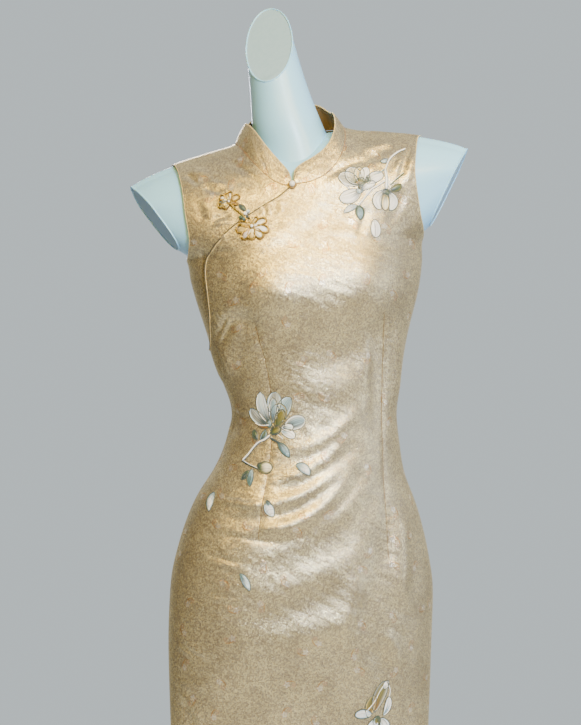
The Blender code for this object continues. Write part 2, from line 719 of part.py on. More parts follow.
def cut_flat(mesh, point, outward):
    """Cuts off what lies beyond a plane and closes the mesh with a flat face."""
    shape = bmesh.new()
    shape.from_mesh(mesh)
    everything = shape.verts[:] + shape.edges[:] + shape.faces[:]
    cut = bmesh.ops.bisect_plane(
        shape, geom=everything, plane_co=point, plane_no=outward, clear_outer=True
    )
    rim = [part for part in cut["geom_cut"] if isinstance(part, bmesh.types.BMEdge)]
    bmesh.ops.contextual_create(shape, geom=rim)
    bmesh.ops.recalc_face_normals(shape, faces=shape.faces[:])
    shape.to_mesh(mesh)
    shape.free()


def weld(mesh):
    """Merges points that coincide and turns all faces outwards."""
    shape = bmesh.new()
    shape.from_mesh(mesh)
    bmesh.ops.remove_doubles(shape, verts=shape.verts[:], dist=WELD)
    bmesh.ops.dissolve_degenerate(shape, edges=shape.edges[:], dist=WELD)
    bmesh.ops.recalc_face_normals(shape, faces=shape.faces[:])
    shape.to_mesh(mesh)
    shape.free()


def arm_cutter(name, side):
    """A block whose inner face is the flat cut at one shoulder, side being -1 or 1."""
    corners = np.array([ARM_CUT_FOOT, ARM_CUT_TOP, ARM_CUT_SIDE]) * np.array([side, 1, 1])
    foot, top, side_point = posed(corners)
    along = (top - foot) / np.linalg.norm(top - foot)
    outward = np.cross(top - foot, side_point - foot)
    outward *= np.sign(outward[0]) * side / np.linalg.norm(outward)
    across = np.cross(outward, along)
    vertices = [
        foot + ARM_CUT_BLOCK * (along * up + across * (2 * back - 1) + outward * out)
        for up in (0, 1) for back in (0, 1) for out in (0, 1)
    ]
    faces = [(0, 1, 3, 2), (4, 6, 7, 5), (0, 4, 5, 1), (2, 3, 7, 6), (0, 2, 6, 4), (1, 5, 7, 3)]
    block = make_object(name, vertices, faces, "form_white")
    weld(block.data)
    return block


def add_boolean(obj, cutter, operation):
    """Joins a helper object to, or takes it from, an object with a Boolean modifier."""
    cutter.hide_render = True
    cutter.display_type = "WIRE"
    modifier = obj.modifiers.new(cutter.name, "BOOLEAN")
    modifier.operation = operation
    modifier.solver = "EXACT"
    modifier.object = cutter


def build_form():
    """The headless, armless form: torso, flat arm cuts, slanted neck and a socket beneath."""
    rings = form_points()
    vertices, faces = tube(rings)
    form = make_object("form", vertices, faces[:-1], "form_white")
    weld(form.data)
    shade(form.data)
    add_boolean(form, arm_cutter("arm_cutter_right", -1), "DIFFERENCE")
    add_boolean(form, arm_cutter("arm_cutter_left", 1), "DIFFERENCE")
    vertices, faces = tube(neck_rings())
    neck = make_object("neck_helper", vertices, faces, "form_white")
    cut_flat(neck.data, NECK_CUT_POINT, NECK_CUT_NORMAL)
    add_boolean(form, neck, "UNION")
    below = -FORM_SOCKET_DEPTH
    socket_profile = [
        (0, below), (SOCKET_RADIUS, below),
        (SOCKET_RADIUS, FORM_SOCKET_DEPTH), (0, FORM_SOCKET_DEPTH),
    ]
    socket = turned("socket_helper", socket_profile, TURNED_SIDES, "steel")
    socket.location.z = FORM_FOOT
    add_boolean(form, socket, "DIFFERENCE")
    return form


def turned(name, profile, sides, colour):
    """A closed solid turned about Z from (radius, height) points, foot to top up its outside."""
    rings, vertices, faces = [], [], []
    for radius, height in profile:
        if radius == 0:
            rings.append([len(vertices)])
            vertices.append((0, 0, height))
            continue
        angles = [2 * math.pi * k / sides for k in range(sides)]
        rings.append(list(range(len(vertices), len(vertices) + sides)))
        vertices += [(radius * math.cos(a), radius * math.sin(a), height) for a in angles]
    for low, high in zip(rings, rings[1:]):
        for i in range(sides):
            k = (i + 1) % sides
            if len(low) == 1:
                faces.append((low[0], high[k], high[i]))
            elif len(high) == 1:
                faces.append((low[i], low[k], high[0]))
            else:
                faces.append((low[i], low[k], high[k], high[i]))
    return make_object(name, vertices, faces, colour)


def build_stand():
    """The pole in its socket and the round base plate with its boss."""
    pole_top = FORM_FOOT + FORM_SOCKET_DEPTH - SEAM_GAP
    pole_foot = BOSS_FLOOR + SEAM_GAP
    chamfer = POLE_CHAMFER
    pole_profile = [
        (0, pole_foot), (POLE_RADIUS - chamfer, pole_foot), (POLE_RADIUS, pole_foot + chamfer),
        (POLE_RADIUS, pole_top - chamfer), (POLE_RADIUS - chamfer, pole_top), (0, pole_top),
    ]
    turned("pole", pole_profile, TURNED_SIDES, "steel")
    edge = BASE_CHAMFER
    boss_top = BASE_THICKNESS + BOSS_HEIGHT
    base_profile = [
        (0, 0), (BASE_RADIUS - edge, 0), (BASE_RADIUS, edge),
        (BASE_RADIUS, BASE_THICKNESS - edge), (BASE_RADIUS - edge, BASE_THICKNESS),
        (BOSS_RADIUS, BASE_THICKNESS), (BOSS_RADIUS, boss_top - edge),
        (BOSS_RADIUS - edge, boss_top), (SOCKET_RADIUS, boss_top),
        (SOCKET_RADIUS, BOSS_FLOOR), (0, BOSS_FLOOR),
    ]
    turned("base", base_profile, 2 * TURNED_SIDES, "steel")


def collar_base():
    """Points of the neckline from the right end of the opening round the back to the left
    end, each with the angle from centre front."""
    left = np.linspace(0, math.pi / 2, NECK_STEPS + 1)
    left[0] = COLLAR_LEFT_GAP
    right = np.linspace(-math.pi / 2, 0, NECK_STEPS + 1)
    right[-1] = -COLLAR_RIGHT_GAP
    back = np.linspace(math.pi / 2, -math.pi / 2, BACK_NECK_STEPS + 1)
    grids = (neckline_turns(left), neckline_turns(back, True)[1:-1], neckline_turns(right))
    lifts = (opening_lift(grids[0]), 0.0 * grids[1][:, 0], 0.0 * grids[2][:, 0])
    points = np.concatenate([place(grid, lift) for grid, lift in zip(grids, lifts)])
    outward = np.concatenate([normal(grid[:, 0], grid[:, 1]) for grid in grids])
    angles = np.concatenate([left, math.pi - back[1:-1], 2 * math.pi + right])
    return points, outward, angles


def collar_rise(angles):
    """Rise and inward lean of the collar at angles from centre front."""
    turn = np.where(angles > math.pi, angles - 2 * math.pi, angles)
    rise = read(COLLAR, COLLAR_COLUMNS, "turn_deg", "rise", np.degrees(turn))
    lean = read(COLLAR, COLLAR_COLUMNS, "turn_deg", "lean", np.degrees(turn))
    from_end = np.maximum(turn - COLLAR_LEFT_GAP, -turn - COLLAR_RIGHT_GAP)
    from_end = np.clip(from_end / COLLAR_END_TURN, 0, 1)
    rounded = np.sqrt(1 - (1 - from_end) ** 2)
    return rise * (COLLAR_END_SHARE + (1 - COLLAR_END_SHARE) * rounded), lean


def build_collar():
    """The stand collar: a leaning ring, open at centre front, its ends rounded down."""
    points, cloth_normal, angles = collar_base()
    rise, lean = collar_rise(angles)
    inward = np.stack([-np.sin(angles), np.cos(angles), np.zeros_like(angles)], axis=-1)
    roll = np.radians(posture("roll_deg", points[:, 2]))[:, None]
    up = np.concatenate([-np.sin(roll), 0 * roll, np.cos(roll)], axis=-1)
    direction = up + inward * lean[:, None]
    unit = direction / np.linalg.norm(direction, axis=-1, keepdims=True)
    along = np.gradient(points, axis=0)
    face = np.cross(along, unit)
    face /= np.linalg.norm(face, axis=-1, keepdims=True)
    slant = np.linalg.norm(np.cross(face, cloth_normal), axis=-1, keepdims=True)
    foot = points + unit * (COLLAR_GAP + slant * (CLOTH + COLLAR_WALL) / 2)
    share = np.linspace(0, 1, COLLAR_ROWS + 1)[:, None, None]
    middle = foot[None] + share * direction[None] * rise[None, :, None]
    outer = middle + face * COLLAR_WALL / 2
    inner = middle - face * COLLAR_WALL / 2
    wall("collar", outer, inner, "silk")


def build_button():
    """The pearl button in its corded ring, over the foot of the collar's opening."""
    station = np.array(NECK_FRONT_STATION)
    u = turn_of(NECK_FRONT_X, station)
    outward = normal(u, station)
    centre = posed(body(u, station)) + outward * BUTTON_STAND
    across = np.array([1.0, 0.0, 0.0])
    across -= outward * (across @ outward)
    across /= np.linalg.norm(across)
    up = np.cross(outward, across)
    ring = [
        centre + RING_RADIUS * (math.cos(a) * across + math.sin(a) * up)
        for a in np.linspace(0, 2 * math.pi, RING_STEPS, endpoint=False)
    ]
    vertices, faces = ring_tube(np.array(ring), centre, outward, RING_WIRE_RADIUS, RING_WIRE_SIDES)
    make_object("button_ring", vertices, faces, "gold_wire")
    stand = math.sqrt((PEARL_RADIUS + RING_WIRE_RADIUS + SEAM_GAP) ** 2 - RING_RADIUS**2)
    half = np.linspace(0, math.pi, PEARL_STEPS)
    profile = [(PEARL_RADIUS * math.sin(a), -PEARL_RADIUS * math.cos(a)) for a in half]
    profile[0] = (0, -PEARL_RADIUS)
    profile[-1] = (0, PEARL_RADIUS)
    pearl = turned("button_pearl", profile, PEARL_SIDES, "pearl")
    pearl.location = tuple(centre + outward * stand)


def ring_tube(path, centre, axis, radius, sides):
    """A closed ring of round wire along a path about an axis."""
    vertices, faces = [], []
    count = len(path)
    for point in path:
        out = (point - centre) / np.linalg.norm(point - centre)
        for k in range(sides):
            a = 2 * math.pi * k / sides
            vertices.append(point + radius * (math.cos(a) * out + math.sin(a) * axis))
    for i in range(count):
        for k in range(sides):
            j, n = (i + 1) % count, (k + 1) % sides
            faces.append((i * sides + k, j * sides + k, j * sides + n, i * sides + n))
    return vertices, faces


def build_frog(name, x, station, half_length, half_width, rise, turn_deg, lobes, on_front):
    """One piece of the frog: a lobed dome that follows the cloth beneath it."""
    u = float(turn_of(x, station))
    step = SLOPE_STEP
    per_u = np.linalg.norm(body(u + step, station) - body(u - step, station)) / 2 / step
    turn = math.radians(turn_deg)
    angles = np.linspace(0, 2 * math.pi, FROG_SIDES, endpoint=False)
    depth = FLOWER_LOBE_DEPTH if lobes > 1 else 0.0
    outline = 1 - depth * (1 - np.cos(lobes * angles)) / 2
    seat = CLOTH / 2 + FROG_GAP
    under, layers = [], []
    for k in range(FROG_RINGS):
        share = 1 - k / FROG_RINGS
        along = half_length * outline * share * np.cos(angles)
        across = half_width * outline * share * np.sin(angles)
        run = along * math.cos(turn) - across * math.sin(turn)
        climb = along * math.sin(turn) + across * math.cos(turn)
        grid = np.stack([u + run / per_u, station + climb], axis=-1)
        height = rise * max(math.sqrt(1 - share**2), FROG_EDGE_SHARE)
        base = opening_lift(grid) * on_front + seat
        under.append(place(grid, base))
        layers.append(place(grid, base + height))
    shells = under[::-1] + layers
    crown = np.array([[u, station]])
    base = opening_lift(crown) * on_front + seat
    low = place(crown, base)
    high = place(crown, base + rise)
    vertices = np.concatenate([low, *shells, high])
    faces = []
    for r in range(len(shells) - 1):
        low_ring, high_ring = 1 + r * FROG_SIDES, 1 + (r + 1) * FROG_SIDES
        for i in range(FROG_SIDES):
            k = (i + 1) % FROG_SIDES
            faces.append((low_ring + i, low_ring + k, high_ring + k, high_ring + i))
    last = 1 + (len(shells) - 1) * FROG_SIDES
    for i in range(FROG_SIDES):
        k = (i + 1) % FROG_SIDES
        faces.append((0, 1 + k, 1 + i))
        faces.append((last + i, last + k, last + FROG_SIDES))
    make_object(name, vertices, faces, "gold_wire")


def clear_scene():
    """Removes every object of the scene."""
    for obj in list(bpy.data.objects):
        bpy.data.objects.remove(obj)


def main():
    """Builds every piece of the dress, the form and its stand."""
    clear_scene()
    front = front_grid()
    panel("front", front, opening_lift(front))
    panel("front_underlap", underlap_grid())
    panel("back", back_grid())
    build_collar()
    build_button()
    for row in FROG:
        build_frog(*row)
    build_form()
    build_stand()


if __name__ == "__main__":
    main()
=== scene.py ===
"""Looks of a cheongsam on a limbless dress form: jacquard silk, embroidery, flower frog, stand.

Metres, +Z up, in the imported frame. The dress faces -Y and the wearer's right side is at -X.
Tables of creases and stitchwork are in millimetres, x across and z up, as seen from the front.

Two sets of coordinates describe everything that follows the body.
  u, station   u turns round the body, 0 at centre front, +-pi/2 at the sides, pi at centre back.
               station is the height up to SHOULDER_START. From there it runs over the shoulder
               to SHOULDER_STATION, the ridge where front and back meet.
  x, y, height the upright body before the posture bends it.
"""
import collections
import functools
import math

import bmesh
import bpy
import numpy as np
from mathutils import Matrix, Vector
from mathutils.bvhtree import BVHTree


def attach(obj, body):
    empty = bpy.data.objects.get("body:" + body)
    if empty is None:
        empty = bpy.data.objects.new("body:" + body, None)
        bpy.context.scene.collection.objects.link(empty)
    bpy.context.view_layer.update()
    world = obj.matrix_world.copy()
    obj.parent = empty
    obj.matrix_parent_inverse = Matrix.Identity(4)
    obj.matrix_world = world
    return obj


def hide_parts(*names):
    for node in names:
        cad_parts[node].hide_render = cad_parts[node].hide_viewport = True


MM = 0.001

# ---- The body under the dress ----

CLOTH = 0.0015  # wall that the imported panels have
SILK = 0.0010  # wall of the fine shells: silk with its backing
SEAM_GAP = 0.0003
PLY_LIFT = 0.0027  # how far the front rises to lie over the underlap
UNDERLAP_REACH = 0.016
UNDERLAP_FOOT = 0.010
LIFT_FLAT = 0.034
LIFT_END = 0.062

HEM = 0.220
SLIT_TOP = 0.636
SLIT_SPREAD = 0.022
OPENING_FOOT = 1.140
UNDERARM = 1.268
SHOULDER_START = 1.335
SHOULDER_STATION = 1.465
BACK_FULLNESS = 0.35

NECK_CENTRE_X = -0.004
NECK_HALF_WIDTH = 0.0745
NECK_FRONT_X = -0.009
NECK_FRONT_STATION = 1.344
NECK_BACK_STATION = 1.402
NECK_LEFT_SPREAD = 0.70  # on the wearer's left the neckline runs out level beside the button
NECK_LEFT_DROP = 0.62  # and climbs late to the shoulder

BUST_X = 0.076
BUST_HEIGHT = 1.212
BUST_RISE = 0.022
BUST_SPREAD_X = 0.050
BUST_SPREAD_UP = 0.050
BUST_SPREAD_DOWN = 0.034

SECTION_COLUMNS = ("station", "half_width", "front_depth", "back_depth")
SECTIONS = (
    (0.220, 0.166, 0.052, 0.056),
    (0.450, 0.172, 0.070, 0.076),
    (0.636, 0.179, 0.088, 0.096),
    (0.700, 0.181, 0.097, 0.108),
    (0.760, 0.182, 0.103, 0.116),
    (0.817, 0.181, 0.105, 0.120),
    (0.856, 0.174, 0.104, 0.118),
    (0.894, 0.164, 0.101, 0.110),
    (0.932, 0.150, 0.097, 0.097),
    (0.970, 0.130, 0.092, 0.084),
    (1.009, 0.119, 0.088, 0.077),
    (1.047, 0.1125, 0.086, 0.075),
    (1.086, 0.120, 0.087, 0.077),
    (1.124, 0.130, 0.090, 0.082),
    (1.162, 0.139, 0.094, 0.087),
    (1.201, 0.1505, 0.097, 0.091),
    (1.240, 0.1585, 0.096, 0.095),
    (1.268, 0.1615, 0.094, 0.097),
    (1.280, 0.175, 0.093, 0.097),
    (1.300, 0.200, 0.090, 0.097),
    (1.335, 0.232, 0.084, 0.095),
    (1.365, 0.250, 0.079, 0.091),
    (1.465, 0.252, 0.075, 0.088),
)

RIDGE_COLUMNS = ("x", "height")
SHOULDER_RIDGE = (
    (0.000, 1.460),
    (0.045, 1.445),
    (0.075, 1.425),
    (0.120, 1.4155),
    (0.171, 1.405),
    (0.232, 1.383),
    (0.260, 1.362),
)

POSTURE_COLUMNS = ("height", "shift_x", "shift_y", "roll_deg", "yaw_deg")
POSTURE = (
    (0.000, 0.000, 0.000, 0.0, 12.0),
    (0.450, 0.000, 0.000, 0.0, 12.0),
    (0.720, 0.000, 0.000, -2.0, 12.0),
    (0.817, 0.003, 0.000, -3.0, 12.0),
    (0.932, 0.008, 0.000, -2.5, 12.0),
    (1.047, 0.018, 0.000, 0.0, 12.0),
    (1.124, 0.011, 0.000, 2.5, 10.0),
    (1.201, 0.010, 0.000, 4.5, 8.0),
    (1.268, 0.005, 0.000, 5.4, 5.0),
    (1.335, -0.002, 0.000, 6.0, 0.0),
    (1.405, -0.007, 0.000, 6.4, -2.0),
    (1.434, -0.016, -0.002, 8.0, 0.0),
    (1.543, -0.037, -0.009, 9.0, 0.0),
    (1.640, -0.055, -0.015, 9.0, 0.0),
)

ARMHOLE_COLUMNS = ("station", "x")
ARMHOLE = (
    (1.268, 0.1615),
    (1.280, 0.1580),
    (1.300, 0.1540),
    (1.345, 0.1535),
    (1.396, 0.1590),
    (1.465, 0.171),
)

# The slanted edge from its foot to the neck, as station and x.
OPENING_EDGE = (
    (1.140, -0.134),
    (1.190, -0.138),
    (1.235, -0.140),
    (1.268, -0.134),
    (1.292, -0.110),
    (1.313, -0.075),
    (1.332, -0.035),
    (NECK_FRONT_STATION, NECK_FRONT_X),
)

NECK_COLUMNS = ("height", "x", "half_width", "half_depth")
NECK_SECTIONS = (
    (1.350, 0.0, 0.060, 0.060),
    (1.405, -0.0020, 0.0510, 0.056),
    (1.434, -0.0030, 0.0480, 0.054),
    (1.480, -0.0038, 0.0402, 0.048),
    (1.543, -0.0055, 0.0335, 0.043),
    (1.640, -0.0070, 0.0315, 0.042),
)

# turn_deg counts from centre front, more than 0 on the wearer's left.
COLLAR_COLUMNS = ("turn_deg", "rise", "lean")  # lean: inward run for each metre of rise
COLLAR = (
    (-180.0, 0.040, 0.10),
    (-135.0, 0.034, 0.35),
    (-90.0, 0.026, 0.60),
    (-45.0, 0.036, 0.42),
    (-20.0, 0.037, 0.32),
    (0.0, 0.034, 0.30),
    (20.0, 0.031, 0.32),
    (45.0, 0.026, 0.42),
    (90.0, 0.019, 0.60),
    (135.0, 0.034, 0.30),
    (180.0, 0.040, 0.10),
)
COLLAR_WALL = 0.0016
COLLAR_GAP = 0.0006
COLLAR_END_SHARE = 0.30
COLLAR_END_TURN = math.radians(32)
COLLAR_RIGHT_GAP = math.radians(1.2)
COLLAR_LEFT_GAP = math.radians(5.0)

# Form and stand
FORM_FOOT = 0.690
FORM_CLEARANCE = 0.0050
SEAT_START = 1.425
FORM_SEAT = 0.0009
NECK_SINK = 0.022
NECK_SINK_FRONT = 0.078
NECK_SINK_BACK = 0.062
NECK_SINK_EDGE = (0.78, 1.02)
NECK_SINK_START = 1.350
NECK_CUT_POINT = (-0.048, -0.010, 1.548)
NECK_CUT_NORMAL = (-0.73, -1.50, 1.0)
ARM_CUT_FOOT = (0.160, 0.000, 1.262)
ARM_CUT_TOP = (0.232, 0.000, 1.383)
ARM_CUT_SIDE = (0.2035, 0.040, 1.3225)
ARM_CUT_BLOCK = 0.200

# Grids of the fine shells
SIDE_PULL = 5  # how closely a panel's threads keep to its sides: higher is closer
OPENING_BEND = 0.56  # share of the opening's length where its steep part ends
SOFTEN = 0.009  # blur of the tables' curves, so that gloss runs over them without a break
TABLE_STEP = 0.001
SHARP_EDGE = math.radians(42)


def column(table, names, name):
    """One named column of a table, as an array."""
    return np.array([row[names.index(name)] for row in table], dtype=float)


def smooth(xs, ys, x):
    """A curve through (xs, ys) with no overshoot between the rows of a table."""
    x = np.clip(np.asarray(x, dtype=float), xs[0], xs[-1])
    steps = np.diff(xs)
    slopes = np.diff(ys) / steps
    inner = np.where(slopes[:-1] * slopes[1:] > 0, (slopes[:-1] + slopes[1:]) / 2, 0.0)
    limit = 3 * np.minimum(np.abs(slopes[:-1]), np.abs(slopes[1:]))
    inner = np.clip(inner, -limit, limit)
    tangents = np.concatenate([[slopes[0]], inner, [slopes[-1]]])
    k = np.clip(np.searchsorted(xs, x, side="right") - 1, 0, len(xs) - 2)
    t = (x - xs[k]) / steps[k]
    start = (1 + 2 * t) * (1 - t) ** 2 * ys[k] + t * (1 - t) ** 2 * steps[k] * tangents[k]
    end = t * t * (3 - 2 * t) * ys[k + 1] - t * t * (1 - t) * steps[k] * tangents[k + 1]
    return start + end


def read(table, names, key, name, x):
    """A table's column as a smooth function of its key column."""
    return smooth(column(table, names, key), column(table, names, name), x)


@functools.lru_cache(maxsize=None)
def softened(table, names, key, name):
    """A table's column as closely spaced samples of a blurred curve."""
    keys = column(table, names, key)
    xs = np.arange(keys[0], keys[-1] + TABLE_STEP / 2, TABLE_STEP)
    ys = read(table, names, key, name, xs)
    reach = int(4 * SOFTEN / TABLE_STEP)
    kernel = np.exp(-((np.arange(-reach, reach + 1) * TABLE_STEP / SOFTEN) ** 2) / 2)
    before = 2 * ys[0] - ys[reach:0:-1]
    after = 2 * ys[-1] - ys[-2:-reach - 2:-1]
    blurred = np.convolve(np.concatenate([before, ys, after]), kernel / kernel.sum(), "valid")
    return xs, blurred


def section(name, station):
    """One measure of the body's cross-section at a station."""
    soft = np.interp(station, *softened(SECTIONS, SECTION_COLUMNS, "station", name))
    # At the armholes the panels' edges are fitted to the unblurred width.
    firm = ramp(station, UNDERARM - 0.070, UNDERARM - 0.020)
    return soft + firm * (read(SECTIONS, SECTION_COLUMNS, "station", name, station) - soft)


def posture(name, height):
    """One measure of the posture at a height."""
    return np.interp(height, *softened(POSTURE, POSTURE_COLUMNS, "height", name))


def ridge_height(x):
    """Height of the shoulder ridge at a place across the body."""
    return read(SHOULDER_RIDGE, RIDGE_COLUMNS, "x", "height", np.abs(x))


def unit(vectors):
    """Vectors brought to a length of 1."""
    return vectors / np.linalg.norm(vectors, axis=-1, keepdims=True)


def ramp(x, start, stop):
    """0 before start, 1 after stop, and a soft step between them."""
    t = np.clip((x - start) / (stop - start), 0, 1)
    return t * t * (3 - 2 * t)


def bust_rise(x, height):
    """How far the bust lifts the front of the cloth at a place."""
    spread = np.where(height > BUST_HEIGHT, BUST_SPREAD_UP, BUST_SPREAD_DOWN)
    up = np.exp(-(((height - BUST_HEIGHT) / spread) ** 2) / 2)
    across = sum(np.exp(-(((x - side * BUST_X) / BUST_SPREAD_X) ** 2) / 2) for side in (-1, 1))
    return BUST_RISE * up * across


def body(u, station):
    """The upright body at (u, station), as x, y, height."""
    u, station = np.broadcast_arrays(np.asarray(u, float), np.asarray(station, float))
    x = section("half_width", station) * np.sin(u)
    at_front = np.cos(u) >= 0
    depth = np.where(at_front, section("front_depth", station), section("back_depth", station))
    over = np.clip((station - SHOULDER_START) / (SHOULDER_STATION - SHOULDER_START), 0, 1)
    turn = over * math.pi / 2
    fullness = np.where(at_front, 0, BACK_FULLNESS)
    rise = np.sin(turn) + fullness * np.sin(turn) * (1 - np.sin(turn))
    crown = SHOULDER_START + (ridge_height(x) - SHOULDER_START) * rise
    height = np.where(over > 0, crown, station)
    y = -depth * np.cos(u) * np.cos(turn)
    y = y - np.where(at_front, bust_rise(x, height) * np.cos(u) * np.cos(turn), 0)
    return np.stack([x, y, height], axis=-1)


def posed(points):
    """Upright points bent, tilted and turned into the form's posture."""
    x, y, height = np.moveaxis(np.asarray(points, float), -1, 0)
    roll = np.radians(posture("roll_deg", height))
    yaw = np.radians(posture("yaw_deg", height))
    across = x * np.cos(roll)
    return np.stack(
        [
            posture("shift_x", height) + across * np.cos(yaw) - y * np.sin(yaw),
            posture("shift_y", height) + across * np.sin(yaw) + y * np.cos(yaw),
            height + x * np.sin(roll),
        ],
        axis=-1,
    )


def normal(u, station):
    """Outward unit normals of the posed body."""
    step = 0.002
    u = np.asarray(u, float)
    edge = math.pi / 2
    # At the very side of the shoulder the surface closes to a point, so u is read beside it.
    near_side = np.abs(np.abs(u) - edge) < 2 * step
    u = np.where(near_side, np.sign(u) * (edge - 2 * step), u)
    low = np.clip(np.asarray(station, float) - step, HEM, SHOULDER_STATION - 2 * step)
    high = low + 2 * step
    middle = (low + high) / 2
    round_body = posed(body(u + step, middle)) - posed(body(u - step, middle))
    up_body = posed(body(u, high)) - posed(body(u, low))
    return unit(np.cross(round_body, up_body))


def turn_of(x, station):
    """u on the front of the body at a place x across it."""
    return np.arcsin(np.clip(x / section("half_width", station), -1, 1))


# ---- Edges and grids of the panels ----


def side_turn(station, gap):
    """u of a panel's side edge on the wearer's left, half a gap short of the side seam."""
    return math.pi / 2 - gap / 2 / section("front_depth", station)


def side_gap(station):
    """Gap between front and back at the side: a seam, then a slit that widens to the hem."""
    open_part = np.clip((SLIT_TOP - station) / (SLIT_TOP - HEM), 0, 1)
    return SEAM_GAP + SLIT_SPREAD * open_part


def way_along(points):
    """Length along a path at each of its points."""
    steps = np.linalg.norm(np.diff(points, axis=0), axis=-1)
    return np.concatenate([[0], np.cumsum(steps)])


def at_lengths(points, way, spots, soft=False):
    """Places at some lengths along a path, with straight or curved runs between its points."""
    columns = np.asarray(points, float).T
    if soft:
        return np.stack([smooth(way, column, spots) for column in columns], axis=-1)
    return np.stack([np.interp(spots, way, column) for column in columns], axis=-1)


def nearest_on(places, line):
    """Distance of places from a line of points, and how far along it each nearest place is,
    counted in points. In a plane, distances on the right of the line's run are below 0."""
    best = np.full(places.shape[:-1], np.inf)
    side = np.ones_like(best)
    spot = np.zeros_like(best)
    for k, (start, end) in enumerate(zip(line[:-1], line[1:])):
        run = end - start
        t = np.clip(((places - start) @ run) / (run @ run), 0, 1)
        off = places - start - t[..., None] * run
        gap = np.linalg.norm(off, axis=-1)
        closer = gap < best
        best = np.where(closer, gap, best)
        spot = np.where(closer, k + t, spot)
        if len(run) == 2:
            turned_to = np.sign(run[0] * off[..., 1] - run[1] * off[..., 0])
            side = np.where(closer, turned_to, side)
    return side * best, spot


def opening_edge(count, start=0.0, stop=1.0):
    """(u, station) along the front's edge over the wearer's right breast, from a share
    start to a share stop of its length, which runs from its foot to the neck."""
    knots = np.array(OPENING_EDGE)
    way = way_along(knots)
    share = np.linspace(start, stop, count)
    station, x = (smooth(way, knots[:, k], share * way[-1]) for k in (0, 1))
    u = np.where(share == 0, -side_turn(station, SEAM_GAP), turn_of(x, station))
    return np.stack([u, station], axis=-1)


def armhole_edge(stations):
    """(u, station) up the wearer's left side seam and round the armhole to the shoulder."""
    x = read(ARMHOLE, ARMHOLE_COLUMNS, "station", "x", stations)
    u = np.where(stations > UNDERARM, turn_of(x, stations), side_turn(stations, SEAM_GAP))
    top = shoulder_station(x)
    return np.stack([u, np.minimum(stations, top)], axis=-1)


def shoulder_station(x):
    """Station of a panel's shoulder edge, half a seam gap short of the ridge."""
    depth = section("front_depth", SHOULDER_STATION)
    share = np.sqrt(1 - (x / section("half_width", SHOULDER_STATION)) ** 2)
    angle = SEAM_GAP / 2 / (depth * share)
    return SHOULDER_STATION - angle / (math.pi / 2) * (SHOULDER_STATION - SHOULDER_START)


def neckline(around, at_back=False):
    """(u, station) on the neckline, around being 0 at its middle and +-pi/2 at the shoulders."""
    middle_station = NECK_BACK_STATION if at_back else NECK_FRONT_STATION
    middle_x = NECK_CENTRE_X if at_back else NECK_FRONT_X
    end_x = NECK_CENTRE_X + np.sign(around) * NECK_HALF_WIDTH
    across, down = np.abs(np.sin(around)), np.cos(around)
    if not at_back:
        share = np.abs(around) / (math.pi / 2)
        even = share * share * (3 - 2 * share) * math.pi / 2
        across = np.where(around > 0, np.sin(even) ** NECK_LEFT_SPREAD, across)
        down = np.where(around > 0, np.abs(np.cos(even)) ** NECK_LEFT_DROP, down)
    x = middle_x + (end_x - middle_x) * across
    top = shoulder_station(x)
    station = top - (top - middle_station) * down
    u = turn_of(x, station)
    return np.stack([math.pi - u if at_back else u, station], axis=-1)


def shoulder_edge(start_x, end_x, count):
    """(u, station) along a shoulder seam, without its first point."""
    x = np.linspace(start_x, end_x, count + 1)[1:]
    station = shoulder_station(x)
    return np.stack([turn_of(x, station), station], axis=-1)


def moved_in(edge, reach):
    """An edge of (u, station) moved over the body's surface, to the right of its run."""
    u, station = edge[:, 0], edge[:, 1]
    step = 0.001
    per_u = np.linalg.norm(body(u + step, station) - body(u - step, station), axis=-1) / 2 / step
    up = body(u, station + step) - body(u, station - step)
    per_station = np.linalg.norm(up, axis=-1) / 2 / step
    run = np.gradient(edge, axis=0) * np.stack([per_u, per_station], axis=-1)
    inward = unit(np.stack([run[:, 1], -run[:, 0]], axis=-1))
    return edge + reach * inward / np.stack([per_u, per_station], axis=-1)


def unrolled(grid, middle=0.0):
    """(u, station) as flat pattern coordinates, the way round the body and up it."""
    way_round = (grid[..., 0] - middle) * section("half_width", grid[..., 1])
    return np.stack([way_round, grid[..., 1]], axis=-1)


def rolled(flat, middle=0.0):
    """Flat pattern coordinates as (u, station)."""
    u = middle + flat[..., 0] / section("half_width", flat[..., 1])
    return np.stack([u, flat[..., 1]], axis=-1)


def ruled_patch(starts, ends, first_side, last_side, shares, middle=0.0):
    """A grid of (u, station) whose threads run from starts to ends, with points at the
    given shares of their length. Its first and last thread follow the given sides, and the
    threads near them bend along with them."""
    starts, ends, first, last = (
        unrolled(edge, middle) for edge in (starts, ends, first_side, last_side)
    )
    s = np.linspace(0, 1, len(starts))[None, :, None]
    t = np.asarray(shares)[:, None, None]
    ruled = (1 - t) * starts[None] + t * ends[None]
    near_first = (1 - s) ** SIDE_PULL * (first[:, None] - ruled[:, :1])
    near_last = s**SIDE_PULL * (last[:, None] - ruled[:, -1:])
    return rolled(ruled + near_first + near_last, middle)


def rows_between(*stops):
    """Stations through (station, count) stops: count rows lead up to each stop."""
    rows = [np.array([stops[0][0]])]
    for (low, _), (high, count) in zip(stops, stops[1:]):
        rows.append(np.linspace(low, high, count + 1)[1:])
    return np.concatenate(rows)


def upper_stations(count):
    """Rows from the foot of the opening to the shoulder seam."""
    return np.linspace(OPENING_FOOT, SHOULDER_STATION, count)


def mirrored(edge):
    """The same edge on the wearer's right."""
    return edge * np.array([-1.0, 1.0])


def lower_grid(stations, columns, middle=0.0):
    """The part of a panel below the opening, between the side seams."""
    edge = side_turn(stations, side_gap(stations))
    turns = middle + np.linspace(-1, 1, columns + 1)[None] * edge[:, None]
    return np.stack(np.broadcast_arrays(turns, stations[:, None]), axis=-1)


